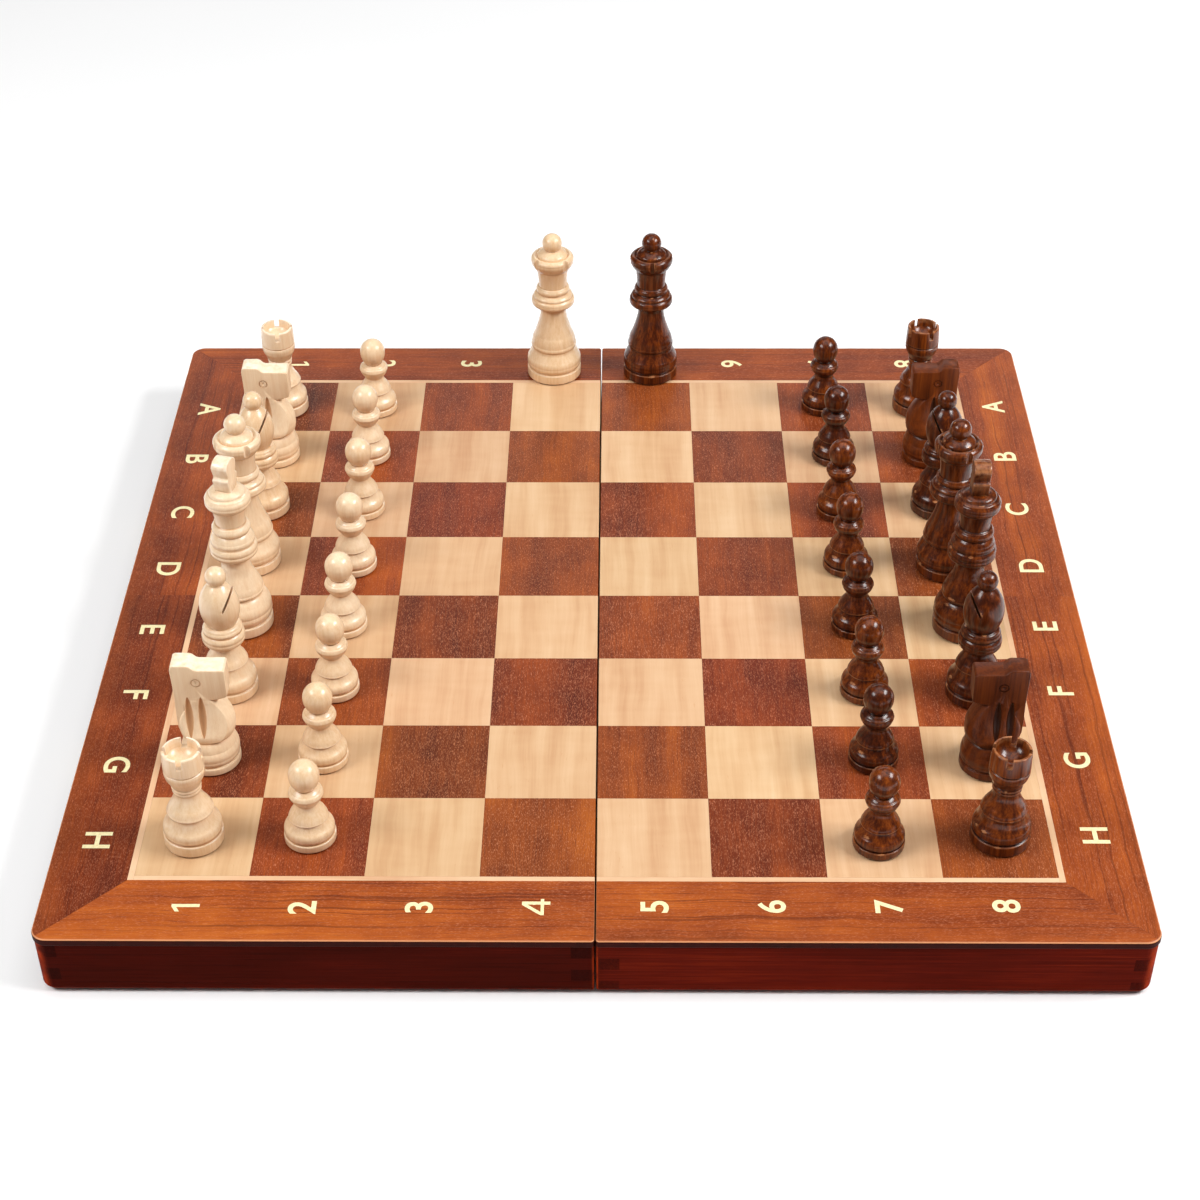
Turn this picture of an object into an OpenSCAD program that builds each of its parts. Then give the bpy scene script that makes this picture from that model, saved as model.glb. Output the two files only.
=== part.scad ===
// Folding chess board with a full set of turned pieces and two spare queens.
// Millimetres, +Z up. The board lies open and flat, playing side up, and the
// fold runs along Y. The origin is the middle of the footprint, at the lowest
// point, which is the underside of the hinge barrels.

/* [Board] */
// Side of one square of the playing field
square = 50; // [30:0.5:60]
// Width of the light line laid in round the field
inlay_w = 2.7; // [1:0.1:6]
// Width of the border strips outside that line
border_w = 35.8; // [20:0.1:60]
// Gap between the two halves at the seam
seam_gap = 0.6; // [0.2:0.1:2]
// Thickness of a half's top panel with its veneer
panel_t = 4; // [3:0.1:8]
// Thickness of the veneer
veneer_t = 0.6; // [0.4:0.1:1.5]
// Joint line between two pieces of veneer
joint_w = 0.05; // [0.02:0.01:0.2]
// Height of the walls under the panel
rail_h = 27.5; // [15:0.5:60]
// Thickness of the walls
rail_t = 10; // [6:0.5:16]
// How far the panel stands out past the walls
lip = 0.5; // [0:0.1:3]
// Radius of the four outer corners, seen from above
corner_r = 7; // [2:0.5:15]
// Radius of the corners beside the seam
seam_r = 1.5; // [0.5:0.1:4]
// Thickness of the felt that lines the inside
lining_t = 0.8; // [0.5:0.1:3]

/* [Hinges] */
// Distance of each hinge from the middle of the seam
hinge_y = 150; // [60:1:200]
// Length of a hinge leaf
leaf_l = 40; // [20:1:80]
// Outer edge of a leaf, measured from the seam
leaf_w = 9.3; // [6:0.1:9.8]
// Thickness of a leaf
leaf_t = 1; // [0.6:0.1:2]
// Outside radius of the barrel
barrel_r = 1.25; // [1:0.05:3]
// Radius of the pin
pin_r = 0.6; // [0.4:0.05:1.5]
// Gap left between the two rims when the box is closed
closed_gap = 0.3; // [0.1:0.1:1]

/* [Latches] */
// Distance of each latch from the middle of the end wall
latch_y = 105; // [40:1:200]
// Height of the hook's pivot above the rim
pivot_up = 11; // [8:0.5:20]
// Distance from the pivot to the peg that the hook catches
hook_reach = 22; // [16:0.5:40]
// Thickness of the hook
hook_t = 1.2; // [0.8:0.1:3]
// Width of the hook's arm
hook_w = 6; // [4:0.5:10]
// Radius of the pivot screw
pivot_r = 1.5; // [1:0.1:3]
// Radius of the peg
peg_r = 1.1; // [0.8:0.1:3]

/* [Pieces] */
// Thickness of the felt under each piece
felt_t = 0.6; // [0.3:0.1:1.5]
// Thickness of the glue between the felt and the wood
glue_t = 0.02; // [0.01:0.01:0.1]
// Width of the cut in a bishop's head
mitre_w = 1.1; // [0.6:0.1:2]
// Width of the slots in a rook's battlements
slot_w = 2.5; // [1:0.1:4]
// Number of notches in a queen's coronet
notches = 4; // [3:1:9]
// Thickness of a knight's head between its flat cheeks
cheek_t = 10.2; // [6:0.1:16]
// Thickness of the king's finial
finial_t = 8; // [4:0.1:12]
// How far the back rank stands outside the middle of its squares
rank_out = 2; // [0:0.1:4]
// How far the pawns stand outside the middle of their squares
pawn_out = 1.3; // [0:0.1:4]
// Distance of a spare queen from the seam
spare_x = 27.5; // [16:0.5:60]
// Distance of the spare queens from the middle of the field
spare_y = 212.6; // [200:0.1:222]

/* [Colours] */
// Light veneer
maple = "#E6C795";
// Dark veneer
mahogany = "#8A4426";
// Walls and panel edge
wall_wood = "#5A2012";
// Light pieces
light_wood = "#EBD9B4";
// Dark pieces
dark_wood = "#4C2412";
// Hinges, screws, hooks and pegs
brass = "#C9A24B";
// Lining inside the box
felt = "#2F5A38";

/* [Part] */
// Sub-part to show

/* [Hidden] */
$fn = 48;
running = 0.08;
half_l = seam_gap / 2 + 4 * square + inlay_w + border_w;
half_d = 4 * square + inlay_w + border_w;
axis_z = barrel_r;
rim_z = axis_z + closed_gap / 2;
panel_z = rim_z + rail_h;
top_z = panel_z + panel_t;
core_top = top_z - veneer_t;
field_x = seam_gap / 2 + 4 * square;
field_y = 4 * square;
seg_h = rail_h / 4;
sweep_r = 52;
wall_x = half_l - lip;
wall_y = half_d - lip;
pivot_z = rim_z + pivot_up;
peg_z = 2 * axis_z - pivot_z + hook_reach;
knuckles = 5;
knuckle_l = leaf_l / knuckles;

// Turned outlines. Each row is [radius, height, bulge to the next row]: a bulge
// of 0 is a straight line, and of 1 a half circle to the outside.
pawn_rows = [
  [11, 0.6, 0.4], [11.5, 1.1, 0.03], [11.5, 3.8, 0.4], [11, 4.3, 0],
  [10.6, 4.4, 0], [10.6, 4.8, 0.25], [11.2, 6.9, 0.2], [10.4, 9.2, -0.1],
  [8.5, 12, -0.05], [8.1, 13, 0], [8.7, 13.4, 0.35], [8.5, 14.2, 0.1],
  [7.4, 16.6, 0], [5.9, 18.9, -0.15], [5, 21.6, 0], [5.2, 22, 0],
  [6.4, 23.6, 0.1], [7.5, 26, 0.3], [7.5, 27.6, 0.35], [6.4, 28.8, 0.1],
  [4.4, 30.3, 0.183], [6.8, 36.8, 0.414], [0, 44.5, 0]
];
rook_rows = [
  [12.7, 0.6, 0.4], [13.2, 1.1, 0.03], [13.2, 5.7, 0.4], [12.7, 6.2, 0],
  [12.3, 6.4, 0], [12.3, 6.8, 0.25], [12.9, 8.9, 0.22], [11.9, 11.9, -0.12],
  [10.1, 15.6, -0.1], [9.7, 17.8, 0], [10.2, 18.2, 0.35], [9.9, 19.4, 0.1],
  [8.3, 22.4, 0], [6.8, 25.4, -0.12], [5.9, 29, 0], [5.9, 29.5, 0],
  [6.2, 29.8, 0.3], [6.2, 31.2, 0], [6, 31.4, 0], [6.4, 31.7, 0.3],
  [6.4, 33, 0], [6.2, 33.2, 0], [6.5, 33.5, 0], [7.6, 36.4, 0.12],
  [8.75, 39.4, 0.12], [8.85, 42, 0], [8.5, 42.3, 0], [8.5, 42.7, 0],
  [8.95, 43, 0.02], [8.55, 51.8, 0.3], [8.15, 52.4, 0], [7.3, 52.4, 0],
  [7, 48.6, -0.25], [0, 44.8, 0]
];
knight_rows = [
  [12.7, 0.6, 0.4], [13.2, 1.1, 0.03], [13.2, 3.8, 0.4], [12.7, 4.3, 0],
  [12.3, 4.4, 0], [12.3, 4.8, 0.25], [13.1, 7.8, 0.2], [12.3, 12.4, 0.1],
  [11, 16.8, 0], [10.4, 17.4, 0], [10.4, 18, 0], [11.3, 18.4, 0.35],
  [12.5, 20.2, 0.1], [12.8, 23.5, 0.06], [12.6, 26.5, 0.08], [11.4, 30.3, 0.05],
  [9.1, 34.6, 0], [6.6, 38.6, 0], [5, 41, 0], [0, 41, 0]
];
bishop_rows = [
  [12.8, 0.6, 0.4], [13.3, 1.1, 0.03], [13.3, 5, 0.4], [12.8, 5.5, 0],
  [12.4, 5.7, 0], [12.4, 6.1, 0.25], [13.2, 8.6, 0.2], [12.2, 11.8, -0.12],
  [10, 16, -0.08], [9.6, 17.9, 0], [10, 18.2, 0.35], [9.8, 18.8, 0.12],
  [8.4, 21.6, 0], [6.9, 24.6, -0.12], [6, 27.8, 0], [6.4, 28.2, 0.1],
  [9, 29.9, 0.35], [9.95, 32.9, 0.3], [9.3, 35.9, 0], [9, 36.2, 0],
  [9, 36.6, 0.4], [8.7, 38.9, 0.3], [7.6, 40.3, 0], [7.1, 40.5, 0],
  [7.2, 41, 0.13], [9.4, 51, 0.2], [4.1, 62.8, 0], [3.7, 63.3, 0],
  [3.9, 63.83, 0.62], [0, 71.7, 0]
];
queen_rows = [
  [14.7, 0.6, 0.4], [15.2, 1.1, 0.03], [15.2, 5.5, 0.4], [14.7, 6, 0],
  [14.3, 6.2, 0], [14.3, 6.6, 0.25], [15.1, 9.8, 0.22], [14.2, 13.4, 0],
  [12.9, 16.4, -0.15], [12.1, 18.8, 0], [12.5, 19.3, 0.3], [12.3, 21.6, 0.12],
  [10.7, 27.2, -0.02], [8.2, 35, -0.06], [7.1, 42, 0], [7.3, 44, 0],
  [8, 44.3, 0.1], [11.2, 46, 0.35], [11.9, 48.3, 0.3], [11.1, 50.3, 0],
  [10.8, 50.6, 0], [10.8, 51, 0.3], [10.3, 52.2, 0.15], [8.8, 53.2, 0],
  [8.6, 53.4, 0], [8.7, 53.8, 0.45], [8.7, 56.6, 0.3], [8.2, 57.3, 0],
  [7.9, 57.6, -0.06], [8.8, 67.6, 0], [9.2, 68, 0.1], [11, 70.6, 0.2],
  [11.7, 73.4, 0.35], [10.9, 75.6, 0.4], [9.4, 76, 0], [8.5, 75.1, 0],
  [8.3, 75.3, 0.3], [7.4, 77.4, 0.1], [4.1, 79.45, 0.642], [0, 88.4, 0]
];
king_rows = [
  [14.4, 0.6, 0.4], [14.9, 1.1, 0.03], [14.9, 5.6, 0.4], [14.4, 6.1, 0],
  [14, 6.3, 0], [14, 6.7, 0.25], [14.8, 11.4, 0.2], [13.7, 16.8, 0.1],
  [11.5, 20.2, 0], [11.2, 21, 0], [11.9, 21.6, 0.35], [11.8, 23.4, 0.12],
  [10.8, 26.8, 0.02], [9, 31, -0.1], [7.3, 36, -0.08], [6.8, 40, 0],
  [7, 41.7, 0], [7.6, 41.9, 0.1], [10.6, 43.8, 0.35], [11.3, 46.8, 0.3],
  [10.7, 50.2, 0], [10.4, 50.6, 0], [10.4, 51.2, 0.3], [10, 53.6, 0.15],
  [8.6, 56.2, 0], [8.3, 56.5, 0], [8.5, 57, 0.45], [8.5, 60.6, 0.3],
  [7.6, 61.4, 0], [7.2, 61.8, -0.06], [8.4, 70.4, 0], [8.8, 70.7, 0.1],
  [10.3, 72.2, 0.3], [10.85, 74.6, 0.3], [10.2, 77.2, 0.3], [9, 78.3, 0],
  [8.6, 78.5, 0.3], [7.6, 80.3, 0.12], [4.6, 81.2, 0], [0, 81.4, 0]
];
// King's finial, seen along X: half of the outline as [half width, height].
finial_rows = [
  [4, 80.6], [4.2, 81.6], [5.4, 87.3], [5.4, 87.9], [3.8, 88.8],
  [5.4, 93.8], [5.4, 94.6], [4.7, 95.8], [3.2, 96.9], [1.6, 97.5]
];
// Knight's head, seen along Y with the muzzle towards +X.
head_rows = [
  [-9.6, 17.6], [-11.4, 19.8], [-12.3, 23.4], [-12.4, 30], [-12.2, 40],
  [-12.3, 47.5], [-12.6, 56.2], [-12.2, 58], [-11, 58.7], [-4.8, 58.7],
  [-3.5, 58.2], [-1.9, 56.6], [-0.8, 56.2], [11, 56.2], [11.8, 55.4],
  [11.6, 41.6], [10.8, 40.8], [7.4, 39.6], [4.2, 39.2], [2, 34], [0, 17.6]
];

// Straight or arched run between two rows, without its last point.
function run(a, b, n = 3) =
  a[2] == 0 ? [[a[0], a[1]]] :
  let (d = [b[0] - a[0], b[1] - a[1]], c = norm(d), u = d / c, s = [u[1], -u[0]],
       r = c * (1 + a[2] * a[2]) / (4 * a[2]), t = 4 * atan(a[2]),
       m = [a[0] + b[0], a[1] + b[1]] / 2 + s * (a[2] * c / 2 - r))
  [for (i = [0 : n - 1]) let (w = t * (i / n - 0.5)) m + r * (cos(w) * s + sin(w) * u)];
function traced(rows) = [
  [0, rows[0][1]],
  for (i = [0 : len(rows) - 2]) each run(rows[i], rows[i + 1]),
  [rows[len(rows) - 1][0], rows[len(rows) - 1][1]]
];

// ---- board ---------------------------------------------------------------

// Box on one side of the seam: x runs outwards from a to b.
module bar(s, a, b, y0, y1, z0, z1)
  translate([s > 0 ? a : -b, y0, z0])
    cube([b - a, y1 - y0, z1 - z0]);

module bar_2d(s, a, b, y0, y1)
  translate([s > 0 ? a : -b, y0])
    square([b - a, y1 - y0]);

// What a rounded corner takes away; sx and sy point out of the corner.
module corner_cut(x, y, sx, sy, r)
  difference() {
    translate([sx > 0 ? x - r : x - 1, sy > 0 ? y - r : y - 1])
      square(r + 1);
    translate([x - sx * r, y - sy * r])
      circle(r);
  }

// One half seen from above, drawn in by inset on its three outer sides.
module plan(s, inset)
  difference() {
    bar_2d(s, seam_gap / 2, half_l - inset, -half_d + inset, half_d - inset);
    for (t = [-1, 1]) {
      corner_cut(s * (half_l - inset), t * (half_d - inset), s, t, corner_r - inset);
      corner_cut(s * seam_gap / 2, t * (half_d - inset), -s, t, seam_r);
    }
  }

module panel(s)
  translate([0, 0, panel_z])
    linear_extrude(panel_t - veneer_t)
      plan(s, 0);

// Squares of one shade on one half; shade 0 is light.
module squares(s, shade)
  for (i = [0 : 3], j = [0 : 7])
    if ((i + j + (s < 0 ? 1 : 0)) % 2 == shade)
      bar(s, seam_gap / 2 + i * square + (i > 0 ? joint_w / 2 : 0),
          seam_gap / 2 + (i + 1) * square - joint_w / 2,
          -field_y + j * square + joint_w / 2,
          -field_y + (j + 1) * square - joint_w / 2, core_top, top_z);

module inlay_line(s) {
  bar(s, field_x + joint_w / 2, field_x + inlay_w - joint_w / 2,
      -field_y - inlay_w + joint_w / 2, field_y + inlay_w - joint_w / 2, core_top, top_z);
  for (t = [-1, 1])
    bar(s, seam_gap / 2, field_x - joint_w / 2,
        t > 0 ? field_y + joint_w / 2 : -field_y - inlay_w + joint_w / 2,
        t > 0 ? field_y + inlay_w - joint_w / 2 : -field_y - joint_w / 2, core_top, top_z);
}

// Border strips, mitred at the two outer corners.
module border_veneer(s) {
  x0 = field_x + inlay_w;
  y0 = field_y + inlay_w;
  far = border_w + 1;
  translate([0, 0, core_top])
    linear_extrude(veneer_t)
      intersection() {
        plan(s, 0);
        polygon([[s * x0, -y0 + joint_w], [s * x0, y0 - joint_w],
                 [s * (x0 + far), y0 + far - joint_w], [s * (x0 + far), -y0 - far + joint_w]]);
      }
  for (t = [-1, 1])
    translate([0, 0, core_top])
      linear_extrude(veneer_t)
        intersection() {
          plan(s, 0);
          polygon([[0, t * y0], [s * (x0 - joint_w), t * y0],
                   [s * (x0 + far - joint_w), t * (y0 + far)], [0, t * (y0 + far)]]);
        }
}

// The walls are finger jointed: layer k of a corner belongs to the side rail
// or to the rail that crosses it, and the two halves are the other way about.
function side_has(s, k) = (k % 2 == 0) == (s < 0);

module tabs(s, x0, x1, for_side)
  for (k = [0 : 3])
    if (side_has(s, k) == for_side)
      translate([0, 0, rim_z + k * seg_h])
        linear_extrude(seg_h)
          for (t = [-1, 1])
            intersection() {
              plan(s, lip);
              bar_2d(s, x0, x1, t > 0 ? wall_y - rail_t : -wall_y,
                     t > 0 ? wall_y : -wall_y + rail_t);
            }

module side_rails(s) {
  a = seam_gap / 2 + rail_t;
  b = wall_x - rail_t;
  for (t = [-1, 1])
    bar(s, a, b, t > 0 ? wall_y - rail_t : -wall_y,
        t > 0 ? wall_y : -wall_y + rail_t, rim_z, panel_z);
  tabs(s, seam_gap / 2, a, true);
  tabs(s, b, wall_x, true);
}

module end_rail(s)
  difference() {
    union() {
      bar(s, wall_x - rail_t, wall_x, -wall_y + rail_t, wall_y - rail_t, rim_z, panel_z);
      tabs(s, wall_x - rail_t, wall_x, false);
    }
    for (t = [-1, 1])
      if (s < 0)
        pivot_bore(t);
      else
        peg_bore(t);
  }

module spine_rail(s)
  difference() {
    union() {
      bar(s, seam_gap / 2, seam_gap / 2 + rail_t, -wall_y + rail_t, wall_y - rail_t,
          rim_z, panel_z);
      tabs(s, seam_gap / 2, seam_gap / 2 + rail_t, false);
    }
    for (t = [-1, 1]) {
      bar(s, 0, leaf_w, t * hinge_y - leaf_l / 2, t * hinge_y + leaf_l / 2,
          rim_z - 1, rim_z + leaf_t);
      translate([0, t * hinge_y, axis_z])
        rotate([90, 0, 0])
          cylinder(h = leaf_l + 0.4, r = barrel_r + 0.35, center = true);
      leaf_screws(s, t);
    }
  }

module lining(s)
  bar(s, seam_gap / 2 + rail_t, wall_x - rail_t, -wall_y + rail_t, wall_y - rail_t,
      panel_z - lining_t, panel_z);

// ---- hinges --------------------------------------------------------------

module barrel_piece(y0, y1, r)
  translate([0, y1, axis_z])
    rotate([90, 0, 0])
      cylinder(h = y1 - y0, r = r);

// Countersunk screws of one leaf.
module leaf_screws(s, t)
  for (d = [-14, 0, 14])
    translate([s * 5.8, t * hinge_y + d, rim_z]) {
      cylinder(h = leaf_t, r1 = 1.9, r2 = 0.9);
      cylinder(h = 9, r = 0.9);
    }

// Leaf with its knuckles: the left half has knuckles 0, 2 and 4.
module leaf(s, t)
  difference() {
    union() {
      bar(s, barrel_r + 0.35, leaf_w, t * hinge_y - leaf_l / 2, t * hinge_y + leaf_l / 2,
          rim_z, rim_z + leaf_t);
      for (k = [0 : knuckles - 1])
        if ((k % 2 == 0) == (s < 0)) {
          y0 = t * hinge_y - leaf_l / 2 + k * knuckle_l + 0.1;
          y1 = y0 + knuckle_l - 0.2;
          barrel_piece(y0, y1, barrel_r);
          bar(s, 0.2, barrel_r + 0.4, y0, y1, rim_z, rim_z + leaf_t);
        }
    }
    barrel_piece(t * hinge_y - leaf_l, t * hinge_y + leaf_l, s < 0 ? pin_r : pin_r + running);
    leaf_screws(s, t);
  }

// ---- latches -------------------------------------------------------------

// Cylinder along X on an end wall: x runs outwards from a to b.
module stud(s, y, z, a, b, r)
  translate([s > 0 ? a : -b, y, z])
    rotate([0, 90, 0])
      cylinder(h = b - a, r = r);

module pivot_bore(t)
  stud(-1, t * latch_y, pivot_z, wall_x - 8, wall_x + 1, pivot_r);

module peg_bore(t)
  stud(1, t * latch_y, peg_z, wall_x - 8, wall_x + 1, peg_r);

module pivot_screw(t) {
  stud(-1, t * latch_y, pivot_z, wall_x - 8, wall_x + 1.9, pivot_r);
  stud(-1, t * latch_y, pivot_z, wall_x + 1.8, wall_x + 3, 3.2);
}

module peg(t) {
  stud(1, t * latch_y, peg_z, wall_x - 8, wall_x + 2.1, peg_r);
  stud(1, t * latch_y, peg_z, wall_x + 2, wall_x + 3, 2.2);
}

// Hook lying along +X in its own plane, with its mouth open towards -Y.
module hook_2d()
  difference() {
    union() {
      circle(4.2);
      translate([0, -hook_w / 2])
        square([hook_reach + 4, hook_w]);
      translate([hook_reach + 4, 0])
        circle(hook_w / 2);
    }
    circle(pivot_r + running);
    translate([hook_reach, 0])
      circle(peg_r + 0.4);
    intersection() {
      difference() {
        circle(hook_reach + peg_r + 0.4);
        circle(hook_reach - peg_r - 0.4);
      }
      translate([hook_reach - 4, -8])
        square([8, 8]);
    }
  }

// Hook on the left end wall, pointing to the middle of the wall.
module latch_hook(t)
  translate([-wall_x - 0.3 - hook_t, t * latch_y, pivot_z])
    rotate([0, 0, 90])
      rotate([90, 0, 0])
        linear_extrude(hook_t)
          if (t < 0)
            hook_2d();
          else
            mirror([1, 0])
              hook_2d();

// ---- pieces --------------------------------------------------------------

module turned(rows)
  rotate_extrude()
    polygon(traced(rows));

module pad(r)
  cylinder(h = felt_t - glue_t, r = r);

module pawn() {
  turned(pawn_rows);
  pad(10.4);
}

module rook(turn = 0) {
  difference() {
    turned(rook_rows);
    for (a = [0, 90])
      rotate([0, 0, a + turn])
        translate([-10, -slot_w / 2, 47.8])
          cube([20, slot_w, 6]);
  }
  pad(12.1);
}

module bishop() {
  difference() {
    turned(bishop_rows);
    translate([2.6, -12, 51.8])
      rotate([0, 28, 0])
        translate([-mitre_w / 2, 0, 0])
          cube([mitre_w, 24, 16]);
  }
  pad(12.2);
}

module queen(turn = 0) {
  difference() {
    turned(queen_rows);
    for (i = [0 : notches - 1])
      rotate([0, 0, i * 360 / notches + turn])
        translate([0, -12, 67])
          cylinder(h = 12, r = 1.7);
  }
  pad(14.2);
}

module finial()
  rotate([90, 0, 90])
    linear_extrude(finial_t, center = true)
      polygon([
        for (p = finial_rows) p,
        [0, 97.6],
        for (i = [len(finial_rows) - 1 : -1 : 0]) [-finial_rows[i][0], finial_rows[i][1]]
      ]);

module king(turn = 0) {
  union() {
    turned(king_rows);
    rotate([0, 0, turn])
      finial();
  }
  pad(13.9);
}

// Flat cheeks that sweep out into the round foot of the head.
module cheeks() {
  w = cheek_t / 2;
  rotate([90, 0, 90])
    linear_extrude(30, center = true)
      union() {
        translate([-w, 16])
          square([cheek_t, 27]);
        difference() {
          translate([-13.5, 16])
            square([27, 25]);
          for (t = [-1, 1])
            translate([t * (w + sweep_r), 41])
              circle(sweep_r, $fn = 180);
        }
        translate([-14, 0])
          square([28, 17.7]);
      }
}

// Shallow groove of the mane, pointed at both ends.
module groove(x, t)
  translate([x, t * (cheek_t / 2 + 1.9), 30.5])
    rotate([t * 11.5, 0, 0])
      rotate_extrude()
        polygon([
          [0, -11.5],
          for (i = [-3 : 3]) [2.1 * (1 - i * i / 16), i * 2.9],
          [0, 11.5]
        ]);

module knight_carving(t) {
  // eye
  translate([-1.6, t * cheek_t / 2, 49.2])
    rotate([90, 0, 0])
      difference() {
        cylinder(h = 0.8, r = 2.3, center = true);
        cylinder(h = 1, r = 1.7, center = true);
      }
  // mane
  groove(-6.3, t);
  groove(-0.4, t);
}

module knight() {
  difference() {
    union() {
      intersection() {
        turned(knight_rows);
        cheeks();
      }
      rotate([90, 0, 0])
        linear_extrude(cheek_t, center = true)
          polygon(head_rows);
    }
    for (t = [-1, 1])
      knight_carving(t);
  }
  pad(12.1);
}

// Stations: row 0 is a at the back of the board, row 7 is h at the front.
function row_y(i) = field_y - (i + 0.5) * square;

// Each piece stands a little off its station: off is [toward +X, toward +Y].
module light_at(col, i, out, off = [0, 0])
  translate([-field_x + (col - 0.5) * square - out + off[0], row_y(i) + off[1], top_z])
    color(light_wood)
      children();

module dark_at(col, i, out, off = [0, 0])
  translate([field_x - (col - 0.5) * square + out + off[0], row_y(i) + off[1], top_z])
    rotate([0, 0, 180])
      color(dark_wood)
        children();

// ---- sub-parts -----------------------------------------------------------

module left_panel()
  color(wall_wood)
    panel(-1);

module left_light_squares()
  color(maple)
    squares(-1, 0);

module left_dark_squares()
  color(mahogany)
    squares(-1, 1);

module left_border_veneer()
  color(mahogany)
    border_veneer(-1);

module left_inlay_line()
  color(maple)
    inlay_line(-1);

module left_side_rails()
  color(wall_wood)
    side_rails(-1);

module left_end_rail()
  color(wall_wood)
    end_rail(-1);

module left_spine_rail()
  color(wall_wood)
    spine_rail(-1);

module left_lining()
  color(felt)
    lining(-1);

module left_hinge_leaves()
  color(brass)
    for (t = [-1, 1])
      leaf(-1, t);

module hinge_pins()
  color(brass)
    for (t = [-1, 1])
      barrel_piece(t * hinge_y - leaf_l / 2, t * hinge_y + leaf_l / 2, pin_r);

module left_screws()
  color(brass)
    for (t = [-1, 1]) {
      leaf_screws(-1, t);
      pivot_screw(t);
    }

module right_panel()
  color(wall_wood)
    panel(1);

module right_light_squares()
  color(maple)
    squares(1, 0);

module right_dark_squares()
  color(mahogany)
    squares(1, 1);

module right_border_veneer()
  color(mahogany)
    border_veneer(1);

module right_inlay_line()
  color(maple)
    inlay_line(1);

module right_side_rails()
  color(wall_wood)
    side_rails(1);

module right_end_rail()
  color(wall_wood)
    end_rail(1);

module right_spine_rail()
  color(wall_wood)
    spine_rail(1);

module right_lining()
  color(felt)
    lining(1);

module right_hinge_leaves()
  color(brass)
    for (t = [-1, 1])
      leaf(1, t);

module right_screws()
  color(brass)
    for (t = [-1, 1])
      leaf_screws(1, t);

module latch_pegs()
  color(brass)
    for (t = [-1, 1])
      peg(t);

module latch_hook_front()
  color(brass)
    latch_hook(-1);

module latch_hook_back()
  color(brass)
    latch_hook(1);

module white_rook_a()
  light_at(1, 0, rank_out, [-0.5, -1.5])
    rook(8);

module white_knight_b()
  light_at(1, 1, rank_out)
    knight();

module white_bishop_c()
  light_at(1, 2, rank_out, [0, 1])
    bishop();

module white_queen()
  light_at(1, 3, rank_out, [-1, 4])
    queen(33);

module white_king()
  light_at(1, 4, rank_out, [1.5, 3])
    king(-16);

module white_bishop_f()
  light_at(1, 5, rank_out, [2, 2])
    bishop();

module white_knight_g()
  light_at(1, 6, rank_out, [0.5, 1.5])
    knight();

module white_rook_h()
  light_at(1, 7, rank_out, [0, -1.5])
    rook();

module white_pawn_a()
  light_at(2, 0, pawn_out, [0.5, -2])
    pawn();

module white_pawn_b()
  light_at(2, 1, pawn_out, [0.5, 0.5])
    pawn();

module white_pawn_c()
  light_at(2, 2, pawn_out, [1.5, -0.5])
    pawn();

module white_pawn_d()
  light_at(2, 3, pawn_out, [1.5, 0])
    pawn();

module white_pawn_e()
  light_at(2, 4, pawn_out, [1, 0])
    pawn();

module white_pawn_f()
  light_at(2, 5, pawn_out, [1.5, 1.5])
    pawn();

module white_pawn_g()
  light_at(2, 6, pawn_out, [1, 1.5])
    pawn();

module white_pawn_h()
  light_at(2, 7, pawn_out, [0.5, -0.5])
    pawn();

module white_spare_queen()
  color(light_wood)
    translate([-spare_x + 0.5, spare_y - 1, top_z])
      queen(42);

module black_rook_a()
  dark_at(1, 0, rank_out, [-0.5, -0.5])
    rook(25);

module black_knight_b()
  dark_at(1, 1, rank_out, [0, 0.5])
    knight();

module black_bishop_c()
  dark_at(1, 2, rank_out, [0, 2])
    bishop();

module black_queen()
  dark_at(1, 3, rank_out, [-1, 0])
    queen(20);

module black_king()
  dark_at(1, 4, rank_out, [2, 0.5])
    king();

module black_bishop_f()
  dark_at(1, 5, rank_out, [1, -0.5])
    bishop();

module black_knight_g()
  dark_at(1, 6, rank_out, [1.5, -1])
    knight();

module black_rook_h()
  dark_at(1, 7, rank_out, [0.5, 0])
    rook(-14);

module black_pawn_a()
  dark_at(2, 0, pawn_out, [-2.5, 0.5])
    pawn();

module black_pawn_b()
  dark_at(2, 1, pawn_out)
    pawn();

module black_pawn_c()
  dark_at(2, 2, pawn_out, [-1, -1.5])
    pawn();

module black_pawn_d()
  dark_at(2, 3, pawn_out, [-1, 0.5])
    pawn();

module black_pawn_e()
  dark_at(2, 4, pawn_out, [-0.5, 0.5])
    pawn();

module black_pawn_f()
  dark_at(2, 5, pawn_out, [0, 0.5])
    pawn();

module black_pawn_g()
  dark_at(2, 6, pawn_out, [0, 1.5])
    pawn();

module black_pawn_h()
  dark_at(2, 7, pawn_out, [-2.5, -4])
    pawn();

module black_spare_queen()
  color(dark_wood)
    translate([spare_x + 0.5, spare_y - 1, top_z])
      rotate([0, 0, 180])
        queen(3);

// ---- what is shown -------------------------------------------------------

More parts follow.
